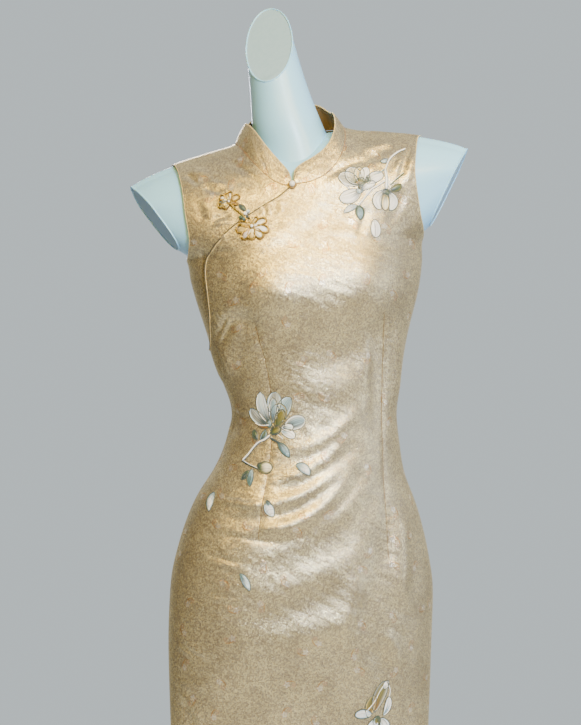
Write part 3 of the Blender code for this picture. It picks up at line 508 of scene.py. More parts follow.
def front_grid():
    """The front: hem to shoulder, its top edge running along the opening and the neckline."""
    opening_columns, neck_columns, shoulder_columns = 40, 52, 40
    stations = rows_between((HEM, 0), (0.700, 76), (OPENING_FOOT, 130))
    lower = lower_grid(stations, opening_columns + neck_columns + shoulder_columns)
    sides = upper_stations(108)
    left_side = armhole_edge(sides)
    steep = opening_edge(len(sides), 0.0, OPENING_BEND)
    flat = opening_edge(opening_columns + 1, OPENING_BEND, 1.0)
    neck = neckline(np.linspace(0, math.pi / 2, neck_columns + 1))
    shoulder = shoulder_edge(NECK_CENTRE_X + NECK_HALF_WIDTH, ARMHOLE[-1][1], shoulder_columns)
    top = np.concatenate([flat[:-1], neck, shoulder])
    shares = np.linspace(0, 1, len(sides))
    upper = ruled_patch(lower[-1], top, steep, left_side, shares)
    return np.concatenate([lower, upper[1:]])


def underlap_grid():
    """The piece over the wearer's right breast, whose inner edge is hidden by the front."""
    neck_columns, shoulder_columns, rows = 40, 30, 56
    foot = OPENING_FOOT - UNDERLAP_FOOT
    outer = mirrored(armhole_edge(np.concatenate([[foot], upper_stations(110)])))
    hidden = moved_in(opening_edge(len(outer)), UNDERLAP_REACH)
    past_middle = math.pi / 16
    neck = neckline(np.linspace(-math.pi / 2, past_middle, neck_columns + 2))
    hidden[-1] = neck[-1]
    hidden[0, 1] = foot
    seam = shoulder_edge(ARMHOLE[-1][1], NECK_HALF_WIDTH - NECK_CENTRE_X, shoulder_columns)
    top = np.concatenate([outer[-1:], mirrored(seam), neck[1:]])
    way = way_along(unrolled(top))
    shares = np.linspace(0, 1, rows)
    top = at_lengths(top, way, shares * way[-1])
    bottom = (1 - shares[:, None]) * outer[0] + shares[:, None] * hidden[0]
    return ruled_patch(outer, hidden, bottom, top, shares).swapaxes(0, 1)


def back_grid():
    """The back, from the wearer's left round to the right."""
    neck_columns, shoulder_columns = 48, 28
    stations = rows_between((HEM, 0), (0.700, 64), (OPENING_FOOT, 96))
    lower = lower_grid(stations, neck_columns + 2 * shoulder_columns, math.pi)
    sides = upper_stations(92)
    side = armhole_edge(sides)
    behind = np.array([math.pi, 0.0])
    left, right = mirrored(side) + behind, side + behind
    neck = neckline(np.linspace(math.pi / 2, -math.pi / 2, neck_columns + 1), True)
    neck_end = NECK_CENTRE_X + NECK_HALF_WIDTH
    left_seam = mirrored(shoulder_edge(ARMHOLE[-1][1], neck_end, shoulder_columns)) + behind
    neck_end = NECK_HALF_WIDTH - NECK_CENTRE_X
    right_seam = shoulder_edge(neck_end, ARMHOLE[-1][1], shoulder_columns) + behind
    top = np.concatenate([left[-1:], left_seam, neck[1:], right_seam])
    shares = np.linspace(0, 1, len(sides))
    upper = ruled_patch(lower[-1], top, left, right, shares, math.pi)
    return np.concatenate([lower, upper[1:]])


def near_opening(grid):
    """Distance of each place of a grid from the front's slanted edge."""
    edge = opening_edge(60)
    return nearest_on(body(grid[..., 0], grid[..., 1]), body(edge[:, 0], edge[:, 1]))[0]


def opening_lift(grid):
    """How far the front rises near the opening to lie over the underlap."""
    return PLY_LIFT * (1 - ramp(near_opening(grid), LIFT_FLAT, LIFT_END))


# ---- Creases, in millimetres as seen from the front: three points, half width and rise ----

# roll: share of the rise that a trough beside the crease has, on its lower side (or its right
# side where it runs up), as on a fold that rolls over.
# Columns: x0, z0, x1, z1, x2, z2, half width, rise, roll.
FRONT_CREASES = (
    # drag folds from the wearer's right hip up to the left waist
    (-118, 938, -16, 938, 68, 1002, 10, 2.6, 0.8),
    (-70, 910, 4, 915, 88, 1006, 11, 3.2, 0.9),
    (-20, 886, 50, 924, 104, 990, 13, 1.8, 0.7),
    (-74, 842, 14, 868, 90, 908, 19, -2.8, 0.0),
    (-86, 776, -6, 802, 64, 826, 19, -2.6, 0.0),
    (-40, 760, 30, 770, 80, 800, 18, 1.6, 0.0),
    (-34, 966, 20, 984, 76, 1040, 9, 1.9, 0.7),
    (-24, 1000, 36, 1020, 92, 1074, 9, 1.6, 0.7),
    # short pulls across the hip
    (-106, 944, -81, 940, -50, 935, 2.4, -0.9, 0.0),
    (-114, 929, -81, 926, -50, 925, 2.4, -0.9, 0.0),
    (-108, 936, -84, 933, -56, 930, 3.0, 0.7, 0.0),
    (-109, 896, -74, 888, -42, 884, 2.6, -1.0, 0.0),
    (-54, 889, -44, 885, -28, 884, 3.6, -1.5, 0.0),
    (-124, 866, -100, 860, -68, 852, 2.6, -0.9, 0.0),
    (-118, 859, -98, 854, -76, 848, 3.0, 0.8, 0.0),
    (-117, 819, -99, 818, -76, 818, 2.6, 0.6, 0.5),
    (-124, 809, -96, 808, -70, 807, 2.6, 0.6, 0.5),
    (-130, 797, -94, 796, -58, 791, 2.8, 0.7, 0.5),
    (-124, 783, -94, 779, -62, 771, 2.8, 0.6, 0.5),
    (-112, 829, -90, 827, -66, 829, 3.0, 0.5, 0.5),
    # creases that spring from the head of the right slit
    (-166, 761, -143, 743, -119, 730, 3.2, 1.4, 0.7),
    (-170, 749, -151, 735, -136, 726, 3.0, 1.0, 0.7),
    (-164, 694, -136, 691, -108, 683, 3.0, 1.3, 0.7),
    (-136, 700, -117, 695, -98, 688, 3.0, 0.8, 0.6),
    (-164, 685, -146, 665, -127, 644, 4.5, 1.7, 0.8),
    (-158, 672, -148, 650, -140, 622, 6.0, -1.6, 0.0),
    (-125, 658, -99, 654, -71, 649, 2.8, 1.0, 0.7),
    (-88, 660, -77, 654, -62, 647, 2.8, 0.9, 0.6),
    (-150, 640, -120, 616, -92, 604, 4.0, 1.0, 0.6),
    # under the breast and down the side
    (-110, 1132, -88, 1172, -50, 1150, 9, -3.6, 0.0),
    (-90, 1181, -103, 1160, -112, 1138, 3.0, 1.6, 0.6),
    (-121, 1192, -113, 1170, -103, 1150, 2.4, 1.2, 0.8),
    (-116, 1190, -108, 1171, -99, 1156, 2.4, 1.1, 0.8),
    (-109, 1187, -102, 1172, -94, 1160, 2.4, 0.9, 0.8),
    (-112, 1140, -104, 1119, -93, 1094, 2.8, 1.1, 0.8),
    (-106, 1139, -98, 1119, -88, 1097, 2.6, 0.9, 0.7),
    (-72, 1136, -56, 1142, -46, 1144, 4.0, 0.9, 0.5),
    (-108, 1012, -72, 1040, -26, 1041, 10, -2.4, 0.0),
    (-96, 1066, -84, 1052, -66, 1046, 4.0, 0.8, 0.6),
    # the left flank
    (100, 1186, 101, 1090, 98, 1005, 10, -3.0, 0.0),
    (127, 1186, 130, 1120, 125, 1045, 7, 2.0, 0.0),
    (80, 1160, 84, 1120, 78, 1070, 8, 1.4, 0.0),
    (112, 1172, 70, 1134, 26, 1116, 17, -2.4, 0.0),
    (-30, 1150, 20, 1168, 84, 1206, 18, 1.6, 0.0),
    (-20, 1096, 40, 1084, 92, 1100, 16, 1.3, 0.0),
    (106, 906, 94, 830, 68, 742, 13, -2.8, 0.0),
    (126, 930, 133, 860, 128, 782, 12, 4.2, 0.0),
    (80, 852, 64, 792, 42, 736, 16, 2.4, 0.0),
    (106, 764, 122, 739, 132, 704, 9, 2.2, 0.0),
    (98, 746, 104, 718, 101, 680, 9, -1.4, 0.0),
    (60, 735, 84, 712, 92, 676, 12, 1.0, 0.0),
    # shoulders and chest
    (147, 1406, 135, 1380, 127, 1346, 4.0, -1.7, 0.0),
    (151, 1400, 144, 1376, 139, 1350, 4.0, 1.1, 0.0),
    (144, 1408, 126, 1390, 116, 1360, 4.5, -1.6, 0.0),
    (140, 1396, 131, 1384, 121, 1362, 4.0, 1.0, 0.0),
    (142, 1409, 112, 1399, 80, 1374, 7.0, -1.9, 0.0),
    (132, 1408, 104, 1405, 72, 1394, 5.0, 1.1, 0.0),
    (134, 1348, 126, 1320, 110, 1292, 7.0, -1.6, 0.0),
    (86, 1322, 81, 1302, 72, 1276, 5.0, -1.2, 0.0),
    (26, 1352, 57, 1374, 93, 1382, 4.5, -1.4, 0.0),
    (-48, 1325, -44, 1317, -42, 1305, 2.6, 1.1, 0.7),
    (-56, 1322, -53, 1315, -52, 1306, 2.4, 0.8, 0.6),
    (-31, 1327, -28, 1319, -27, 1309, 2.6, 0.8, 0.6),
    (-128, 1296, -110, 1286, -96, 1270, 4.0, 0.9, 0.5),
    (-122, 1262, -108, 1256, -92, 1252, 3.6, 0.7, 0.5),
    # soft folds of the skirt, below the knee
    (-116, 620, -104, 440, -112, 230, 22, 2.6, 0.3),
    (-62, 580, -54, 420, -66, 224, 20, -2.2, 0.0),
    (-14, 640, -10, 430, -22, 224, 24, 2.4, 0.2),
    (38, 660, 46, 450, 34, 224, 22, -2.4, 0.0),
    (88, 640, 92, 430, 84, 226, 20, 2.8, 0.3),
    (128, 600, 134, 420, 130, 240, 14, -1.8, 0.0),
    (-140, 560, -138, 400, -142, 240, 12, -1.4, 0.0),
    (-40, 700, 10, 660, 60, 668, 14, -1.0, 0.0),
    (-110, 600, -70, 560, -30, 566, 10, 0.9, 0.3),
)
UNDERLAP_CREASES = (
    (-156, 1368, -146, 1360, -137, 1350, 3.0, -1.3, 0.0),
    (-150, 1374, -136, 1368, -118, 1364, 5.0, 1.0, 0.3),
    (-132, 1350, -117, 1343, -104, 1341, 3.0, -1.1, 0.0),
    (-128, 1358, -112, 1352, -98, 1352, 4.0, 0.9, 0.3),
    (-118, 1292, -104, 1299, -86, 1298, 2.8, 0.9, 0.6),
    (-120, 1300, -106, 1307, -92, 1308, 3.0, -0.8, 0.0),
    (-142, 1330, -134, 1316, -130, 1296, 5.0, -0.5, 0.0),
    (-134, 1334, -124, 1318, -120, 1298, 5.0, 0.4, 0.0),
    (-100, 1384, -84, 1376, -66, 1362, 5.0, -1.0, 0.0),
    (-134, 1266, -130, 1250, -128, 1232, 3.5, -1.0, 0.0),
    (-70, 1376, -56, 1362, -46, 1350, 4.0, 0.8, 0.4),
)
BACK_CREASES = (
    # pulls into the small of the back
    (-112, 1010, -30, 1046, 66, 1022, 10, 2.6, 0.9),
    (-104, 1046, -10, 1072, 84, 1046, 11, 2.0, 0.8),
    (-92, 1082, 0, 1098, 96, 1092, 12, 1.6, 0.7),
    (-84, 984, 6, 1010, 104, 980, 12, 2.2, 0.8),
    (-120, 966, -40, 972, 40, 948, 12, 1.6, 0.6),
    (10, 940, 70, 958, 128, 930, 12, 1.8, 0.7),
    (-96, 1018, -60, 1034, -22, 1036, 4.0, -1.1, 0.0),
    (30, 1034, 66, 1036, 98, 1022, 4.0, -1.1, 0.0),
    # from the seat to the slits
    (-158, 760, -120, 730, -84, 728, 6.0, 1.3, 0.7),
    (-160, 716, -128, 700, -94, 700, 5.0, 1.2, 0.7),
    (-160, 690, -140, 660, -126, 616, 7.0, 1.8, 0.7),
    (158, 756, 124, 724, 90, 716, 6.0, 1.3, -0.7),
    (160, 700, 138, 672, 122, 628, 7.0, 1.7, -0.7),
    (-64, 790, -10, 770, 60, 786, 16, -1.6, 0.0),
    (-90, 720, 0, 690, 92, 712, 18, -1.8, 0.0),
    # shoulder blades and armholes
    (-150, 1392, -110, 1350, -88, 1290, 9.0, -1.8, 0.0),
    (-132, 1330, -108, 1300, -92, 1250, 8.0, 1.4, 0.0),
    (150, 1388, 112, 1352, 92, 1296, 9.0, -1.8, 0.0),
    (130, 1326, 110, 1290, 96, 1246, 8.0, 1.4, 0.0),
    (-60, 1230, -20, 1180, -14, 1120, 10.0, -1.2, 0.0),
    (64, 1226, 36, 1180, 30, 1124, 10.0, -1.2, 0.0),
    (-136, 1250, -116, 1220, -108, 1180, 5.0, 1.2, 0.6),
    (132, 1246, 118, 1216, 112, 1176, 5.0, 1.2, -0.6),
    (-40, 1404, 0, 1396, 40, 1402, 5.0, -1.0, 0.0),
    # soft folds of the skirt
    (-118, 620, -108, 440, -116, 230, 20, 2.6, 0.3),
    (-66, 680, -58, 440, -66, 226, 22, -2.6, 0.0),
    (-8, 660, -2, 430, -12, 224, 24, 2.6, 0.3),
    (50, 690, 56, 450, 46, 226, 22, -2.6, 0.0),
    (104, 640, 110, 430, 104, 230, 20, 2.6, -0.3),
)

CREASE_STEPS = 14
CREASE_DEPTH = 1.5  # share by which the rises in the tables are drawn
CREASE_REACH = 3.2  # half widths from a crease at which it has died away
TROUGH_DEPTH = 0.55  # deepest a trough gets, as a share of its crease's rise
TROUGH_PLACE = 1.6  # half widths from a crease to the trough beside it


def arc_through(start, middle, end, steps):
    """Points of a soft curve through three points."""
    t = np.linspace(0, 1, steps)[:, None]
    start, middle, end = (np.asarray(p, float) for p in (start, middle, end))
    return (1 - t) * (1 - 2 * t) * start + 4 * t * (1 - t) * middle + t * (2 * t - 1) * end


def crease_rise(places, creases):
    """Rise in metres at places (x, z) in metres, from a table of creases."""
    points = places.reshape(-1, 2) / MM
    rise = np.zeros(len(points))
    for *knots, half_width, top, roll in creases:
        curve = arc_through(*np.reshape(knots, (3, 2)), CREASE_STEPS)
        reach = CREASE_REACH * half_width
        low, high = curve.min(axis=0) - reach, curve.max(axis=0) + reach
        near = np.flatnonzero(np.all((points > low) & (points < high), axis=-1))
        distance, spot = nearest_on(points[near], curve)
        across = distance / half_width
        along = spot / (CREASE_STEPS - 1)
        fade = ramp(along, -0.02, 0.32) * ramp(-along, -1.02, -0.68)
        trough = roll * TROUGH_DEPTH * np.exp(-((across + TROUGH_PLACE) ** 2))
        rise[near] += CREASE_DEPTH * top * MM * fade * (np.exp(-(across**2)) - trough)
    return rise.reshape(places.shape[:-1])


# ---- Seams that draw the cloth in ----

DARTS_FRONT = (
    ((-61, 1161), (-50, 1125), (-44, 1098), (-39, 1060), (-39, 1020), (-45, 970), (-53, 925),
     (-57, 889)),
    ((109, 1179), (110, 1137), (109, 1080), (108, 1019), (109, 965), (112, 911), (115, 859)),
)
DARTS_BACK = (
    ((-52, 1190), (-44, 1140), (-38, 1080), (-36, 1040), (-40, 990), (-48, 930), (-54, 880)),
    ((70, 1188), (64, 1140), (60, 1080), (60, 1040), (64, 990), (70, 930), (76, 880)),
)
DART_DEPTH = 0.9 * MM
DART_HALF_WIDTH = 3.2 * MM
PUCKER_RISE = 0.35 * MM
PUCKER_LENGTH = 11 * MM
PUCKER_REACH = 11 * MM


def nearest_dart(places, darts):
    """Signed distance from the nearest dart's stitched line, and the length along it."""
    found = []
    for dart in darts:
        line = np.array(dart) * MM
        distance, spot = nearest_on(places, line)
        found.append((distance, np.interp(spot, np.arange(len(line)), way_along(line))))
    distance, along = np.moveaxis(np.array(found), 1, 0)
    pick = np.abs(distance).argmin(axis=0)[None]
    return [np.take_along_axis(values, pick, 0)[0] for values in (distance, along)]


def pucker(distance, along):
    """Small uneven waves that a row of stitches draws into the cloth beside it."""
    waves = np.sin(along * 2 * math.pi / PUCKER_LENGTH) * np.sin(along * 37.0 + 1.0)
    waves = waves + 0.6 * np.sin(along * 2 * math.pi / (PUCKER_LENGTH * 0.43) + 2.0)
    return PUCKER_RISE * waves * np.exp(-((distance / PUCKER_REACH) ** 2))


def dart_sink(distance, along):
    """How far a dart's seam pulls the cloth in."""
    return -DART_DEPTH * np.exp(-((distance / DART_HALF_WIDTH) ** 2)) + pucker(distance, along)


# ---- Making meshes ----


def make_mesh(name, shape, *materials, smooth_faces=True):
    """A named mesh object of vertices and faces, with its materials."""
    vertices, faces = shape
    mesh = bpy.data.meshes.new(name)
    mesh.from_pydata([tuple(v) for v in np.asarray(vertices, float).tolist()], [], faces)
    mesh.update()
    for material in materials:
        mesh.materials.append(material)
    if smooth_faces:
        mesh.shade_smooth()
        mesh.set_sharp_from_angle(angle=SHARP_EDGE)
    obj = bpy.data.objects.new(name, mesh)
    bpy.context.scene.collection.objects.link(obj)
    return obj


def grid_faces(rows, columns, start=0, flip=False):
    """Quads of a grid of vertices, row by row."""
    index = np.arange(rows * columns).reshape(rows, columns) + start
    quads = np.stack([index[:-1, :-1], index[:-1, 1:], index[1:, 1:], index[1:, :-1]], axis=-1)
    quads = quads.reshape(-1, 4)
    return (quads[:, ::-1] if flip else quads).tolist()


def shell(name, outer, inner, materials, uv, dart):
    """A thin closed wall between two matching grids, with a material for each side, the
    cloth's own metres as the UV map called cloth, and the distance from a dart."""
    rows, columns = outer.shape[:2]
    count = rows * columns
    faces = grid_faces(rows, columns) + grid_faces(rows, columns, count, flip=True)
    index = np.arange(count).reshape(rows, columns)
    rim = [*index[0, :-1], *index[:-1, -1], *index[-1, :0:-1], *index[:0:-1, 0]]
    for a, b in zip(rim, rim[1:] + rim[:1]):
        faces.append([int(b), int(a), int(a) + count, int(b) + count])
    vertices = np.concatenate([outer.reshape(-1, 3), inner.reshape(-1, 3)])
    obj = make_mesh(name, (vertices, faces), *materials)
    mesh = obj.data
    side = np.zeros(len(faces), dtype=np.int32)
    side[(rows - 1) * (columns - 1):2 * (rows - 1) * (columns - 1)] = 1
    mesh.polygons.foreach_set("material_index", side)
    layer = mesh.uv_layers.new(name="cloth")
    loops = np.empty(len(mesh.loops), dtype=np.int32)
    mesh.loops.foreach_get("vertex_index", loops)
    both = np.concatenate([uv.reshape(-1, 2)] * 2).astype(np.float32)
    layer.data.foreach_set("uv", both[loops].ravel())
    attribute = mesh.attributes.new("dart", "FLOAT", "POINT")
    both = np.concatenate([np.broadcast_to(dart, (rows, columns)).ravel()] * 2)
    attribute.data.foreach_set("value", both.astype(np.float32))
    return obj


def tube_frames(path, closed):
    """Unit directions along a path, and two unit directions across it that don't twist."""
    ahead = np.roll(path, -1, axis=0) if closed else np.concatenate([path[1:], path[-1:]])
    behind = np.roll(path, 1, axis=0) if closed else np.concatenate([path[:1], path[:-1]])
    run = unit(ahead - behind)
    side = [unit(np.cross(run[0], (0.3, 0.5, 0.8)))]
    for direction in run[1:]:
        side.append(unit(side[-1] - direction * (side[-1] @ direction)))
    side = np.array(side)
    return run, side, np.cross(run, side)


def tube(path, radius, sides=8, closed=False):
    """Vertices and faces of a round cord along a path. radius may be one for each point."""
    path = np.asarray(path, float)
    _, side, top = tube_frames(path, closed)
    radius = np.broadcast_to(radius, len(path))[:, None, None]
    turn = np.linspace(0, 2 * math.pi, sides, endpoint=False)[None, :, None]
    ring = np.cos(turn) * side[:, None] + np.sin(turn) * top[:, None]
    vertices = (path[:, None] + radius * ring).reshape(-1, 3)
    count = len(path)
    faces = []
    for i in range(count if closed else count - 1):
        for k in range(sides):
            j, n = (i + 1) % count, (k + 1) % sides
            faces.append([i * sides + k, i * sides + n, j * sides + n, j * sides + k])
    if not closed:
        faces.append(list(range(sides)))
        faces.append([(count - 1) * sides + k for k in reversed(range(sides))])
    return vertices, faces


def joined(parts):
    """Several (vertices, faces) as one."""
    vertices, faces, start = [], [], 0
    for part_vertices, part_faces in parts:
        vertices.append(np.asarray(part_vertices, float))
        faces += [[index + start for index in face] for face in part_faces]
        start += len(part_vertices)
    return np.concatenate(vertices), faces


def even_path(points, step):
    """The same path with points an even step apart."""
    points = np.asarray(points, float)
    way = way_along(points)
    count = max(2, int(round(way[-1] / step)) + 1)
    return at_lengths(points, way, np.linspace(0, way[-1], count))


def turned(profile, sides):
    """Vertices and faces of a closed solid turned about Z from (radius, height) points, foot
    to top up its outside."""
    rings, vertices, faces = [], [], []
    for radius, height in profile:
        if radius == 0:
            rings.append([len(vertices)])
            vertices.append((0, 0, height))
            continue
        angles = [2 * math.pi * k / sides for k in range(sides)]
        rings.append(list(range(len(vertices), len(vertices) + sides)))
        vertices += [(radius * math.cos(a), radius * math.sin(a), height) for a in angles]
    for low, high in zip(rings, rings[1:]):
        for i in range(sides):
            k = (i + 1) % sides
            if len(low) == 1:
                faces.append((low[0], high[k], high[i]))
            elif len(high) == 1:
                faces.append((low[i], low[k], high[0]))
            else:
                faces.append((low[i], low[k], high[k], high[i]))
    return vertices, faces


# ---- Colours and materials ----


def colour(code):
    """An sRGB hex colour as linear RGBA."""
    parts = [int(code[i:i + 2], 16) / 255 for i in (1, 3, 5)]
    linear = [c / 12.92 if c <= 0.04045 else ((c + 0.055) / 1.055) ** 2.4 for c in parts]
    return (*linear, 1.0)


def plug(node, inputs):
    """Links or sets the inputs of a node, given in order, or as one dict by name or number."""
    pairs = inputs[0] if inputs and isinstance(inputs[0], dict) else dict(enumerate(inputs))
    for key, value in pairs.items():
        if isinstance(value, bpy.types.NodeSocket):
            node.id_data.links.new(value, node.inputs[key])
        else:
            node.inputs[key].default_value = value


def add(tree, kind, *inputs, out=0, **settings):
    """Adds a node with its settings, values and links, and returns one of its outputs. kind
    is the node's kind and, after a space, its operation."""
    kind, _, operation = kind.partition(" ")
    made = tree.nodes.new("ShaderNode" + kind)
    if operation:
        made.operation = operation
    for name, value in settings.items():
        setattr(made, name, value)
    plug(made, inputs)
    return made.outputs[out]


def start_material(name, constants):
    """A material, the function that adds nodes to it, and its shader, with constants set on
    the shader's own sockets."""
    made = bpy.data.materials.new(name)
    made.use_nodes = True
    shader = made.node_tree.nodes["Principled BSDF"]
    plug(shader, [constants])
    return made, functools.partial(add, made.node_tree), shader


# Sizes of the woven pattern, in millimetres of cloth.
BLOSSOM_PITCH = 46.0
BLOSSOM_SIZE = 5.4
CRACKLE_PITCH = 1.6

FULL_TURN = 6.283  # a random share of this turns each cluster of blossoms

# Settings that several nodes share. A colour Mix keeps its factor at input 0 and its two
# colours at inputs 6 and 7.
SOFT = {"interpolation_type": "SMOOTHSTEP"}
COLOURS = {"out": 2, "data_type": "RGBA"}
FLAT = {"noise_dimensions": "2D"}
CELLS = {"voronoi_dimensions": "2D"}
GRAIN = ("Scale", "Detail", "Roughness")


def woven_blossoms(node, cloth, pitch, seed):
    """Masks of scattered little flowers and their twigs, and how far out on its petals each
    place lies. Lengths are in millimetres."""
    moved = node("VectorMath ADD", cloth, (seed, seed * 0.7, 0))
    scatter = {"Vector": moved, "Scale": 1 / pitch, "Randomness": 0.72}
    cells = node("TexVoronoi", scatter, **CELLS).node.outputs
    local = node("VectorMath SUBTRACT", moved, cells["Position"])
    chance = node("SeparateColor", cells["Color"]).node.outputs
    turn = node("Math MULTIPLY", chance[0], FULL_TURN)
    spun = node("VectorRotate", {"Vector": local, "Angle": turn}, rotation_type="Z_AXIS")
    x, y, _ = node("SeparateXYZ", spun).node.outputs

    def flower(centre_x, centre_y, size):
        """Mask and shading of one five-petalled flower."""
        off_x = node("Math SUBTRACT", x, centre_x)
        off_y = node("Math SUBTRACT", y, centre_y)
        squares = [node("Math MULTIPLY", off, off) for off in (off_x, off_y)]
        far = node("Math SQRT", node("Math ADD", *squares))
        angle = node("Math MULTIPLY", node("Math ARCTAN2", off_y, off_x), 2.5)
        lobes = node("Math ABSOLUTE", node("Math COSINE", angle))
        edge = node("Math MULTIPLY_ADD", lobes, 0.45 * size, 0.55 * size)
        inside = node("MapRange", node("Math SUBTRACT", edge, far), -0.25, 0.35, **SOFT)
        eye = node("MapRange", far, 0.4, 0.9, 1.0, 0.0, **SOFT)
        petals = node("Math SUBTRACT", inside, eye, use_clamp=True)
        return petals, node("Math DIVIDE", far, edge)

    first, depth = flower(3.2, 1.2, BLOSSOM_SIZE)
    second, _ = flower(-5.4, 4.2, BLOSSOM_SIZE * 0.72)
    petals = node("Math MAXIMUM", first, second)
    # The twig is an arc below the flowers, with a short offshoot on some.
    bow = node("Math MULTIPLY", node("Math MULTIPLY", x, x), 0.055)
    off = node("Math ABSOLUTE", node("Math ADD", node("Math SUBTRACT", y, bow), 2.6))
    reach = node("MapRange", node("Math ABSOLUTE", x), 7.0, 9.0, 1.0, 0.0, **SOFT)
    twig = node("Math MULTIPLY", node("MapRange", off, 0.35, 0.85, 1.0, 0.0, **SOFT), reach)
    lean = node("Math ADD", node("Math MULTIPLY_ADD", x, -1.3, y), -0.6)
    lean = node("MapRange", node("Math ABSOLUTE", lean), 0.4, 0.95, 1.0, 0.0, **SOFT)
    short = node("Math ABSOLUTE", node("Math SUBTRACT", y, 0.6))
    short = node("MapRange", short, 2.2, 2.8, 1.0, 0.0, **SOFT)
    some = node("Math GREATER_THAN", chance[1], 0.35)
    side_twig = node("Math MULTIPLY", node("Math MULTIPLY", lean, short), some)
    twig = node("Math MAXIMUM", twig, side_twig)
    kept = node("Math GREATER_THAN", chance[2], 0.25)
    return node("Math MULTIPLY", petals, kept), node("Math MULTIPLY", twig, kept), depth


def jacquard_silk(name, tint="#B3A48F", dark="#5F5149", light="#E6D8A5"):
    """Silk satin woven with an ice-crackle ground and scattered blossoms: the eye gets soft
    champagne gloss, broken by tiny bright and dull flecks, warm brown where it turns away."""
    made, node, shader = start_material(name, {
        "Metallic": 0.64, "Anisotropic": 0.3, "Sheen Weight": 0.10, "Sheen Roughness": 0.35,
        "Sheen Tint": colour("#FFEBC4"), "Specular IOR Level": 0.5,
        "Specular Tint": colour("#FFE9B0"),
    })
    # Cloth is counted in millimetres here, so a scale of 0.16 is a pattern 6 mm wide.
    cloth = node("VectorMath SCALE", {0: node("UVMap", uv_map="cloth"), "Scale": 1 / MM})
    stir = node("TexNoise", {"Vector": cloth, "Scale": 0.16, "Detail": 3.0}, out=1, **FLAT)
    stirred = node("VectorMath MULTIPLY_ADD", stir, (3.2, 3.2, 0), cloth)
    crackle = {"Vector": stirred, "Scale": 1 / CRACKLE_PITCH}
    lines = node("TexVoronoi", crackle, feature="DISTANCE_TO_EDGE", **CELLS)
    lines = node("MapRange", lines, 0.05, 0.14, 1.0, 0.0, **SOFT)
    chips = node("TexVoronoi", crackle, out=1, **CELLS)
    chip = node("SeparateColor", chips).node.outputs
    petals, twig, depth = woven_blossoms(node, cloth, BLOSSOM_PITCH, 7.0)
    # Threads: ribs about 1 mm long and half as high, each fleck catching light by itself. Real
    # threads are far finer and would not show.
    ribs = node("VectorMath MULTIPLY", cloth, (0.9, 2.3, 1))
    flecks = {"Vector": ribs, "Scale": 0.95, "Detail": 2.0, "Roughness": 0.7}
    flecks = node("TexNoise", flecks, **FLAT)
    wear_and_ridge_shade = node("TexNoise", {"Vector": cloth, "Scale": 0.018, "Detail": 2.0}, **FLAT)
    # Slight unevenness of cloth that has been worn, in lengths of two or three centimetres.
    slant = node("VectorRotate", {"Vector": cloth, "Angle": 0.45}, rotation_type="Z_AXIS")
    drawn = node("VectorMath MULTIPLY", slant, (0.5, 1.2, 1))
    ripple = node("TexNoise", {"Vector": drawn, "Scale": 0.055, "Detail": 1.5}, **FLAT)
    slubs = node("VectorMath MULTIPLY", cloth, (0.08, 1.1, 1))
    slubs = node("TexNoise", {"Vector": slubs, "Scale": 1.0, "Detail": 1.0}, **FLAT)
    dart = node("Attribute", out=2, attribute_name="dart", attribute_type="GEOMETRY")
    # Along each dart's seam the cloth is painted darker brown: painted shade of the fold that the
    # dart draws in.
    dart_seam_shade = node("MapRange", node("Math ABSOLUTE", dart), 0.0003, 0.0009, 0.7, 0.0, **SOFT)
    rim = node("Math MULTIPLY", node("MapRange", depth, 0.72, 0.95, **SOFT), petals)

    # Colour: warp tint, light chips and crackle lines, rust twigs, white petals edged in rust, and
    # painted shade along the darts' seams.
    tone = colour(dark)
    for share, code in (
        (node("MapRange", flecks, 0.36, 0.62, **SOFT), tint),
        (node("MapRange", chip[0], 0.35, 0.85, 0.0, 0.65, **SOFT), light),
        (node("Math MULTIPLY", lines, 0.65), light),
        (node("MapRange", wear_and_ridge_shade, 0.35, 0.7, 0.0, 0.22, **SOFT), dark),
        (node("Math MULTIPLY", twig, 0.75), "#A86E1E"),
        (node("Math MULTIPLY", petals, 0.36), "#FBF6E6"),
        (node("Math MULTIPLY", rim, 0.55), "#A0702C"),
        (dart_seam_shade, "#8A6A3C"),
    ):
        tone = node("Mix", {0: share, 6: tone, 7: colour(code)}, **COLOURS)
    # Gloss: satin lines and petals are smoother than the chips between them.
    rough = 0.27
    uneven = node("Math SUBTRACT", flecks, 0.5)
    for mask, share in ((chip[1], 0.10), (lines, -0.06), (petals, -0.08), (uneven, 0.3)):
        rough = node("Math MULTIPLY_ADD", mask, share, rough)
    # Relief in millimetres, drawn a little deeper than the real weave so that it shows.
    relief = 0.0
    for mask, height in (
        (lines, 0.055), (ripple, 2.0), (chip[2], 0.03), (flecks, 0.17), (slubs, 0.10),
        (petals, 0.16), (twig, 0.14), (dart_seam_shade, -0.35),
    ):
        relief = node("Math MULTIPLY_ADD", mask, height, relief)
    # Each chip of the crackle lies at its own slight tilt, so that single flecks flash.
    tilt = node("VectorMath SUBTRACT", chips, (0.5, 0.5, 0.5))
    tilt = node("VectorMath MULTIPLY_ADD", tilt, (0.12, 0.12, 0.12), node("NewGeometry", out=1))
    bump = {"Height": relief, "Distance": MM, "Strength": 0.6}
    plug(shader, [{
        "Base Color": tone, "Roughness": rough,
        "Tangent": node("Tangent", direction_type="UV_MAP", uv_map="cloth"),
        "Normal": node("Bump", {**bump, "Normal": node("VectorMath NORMALIZE", tilt)}),
    }])
    return made


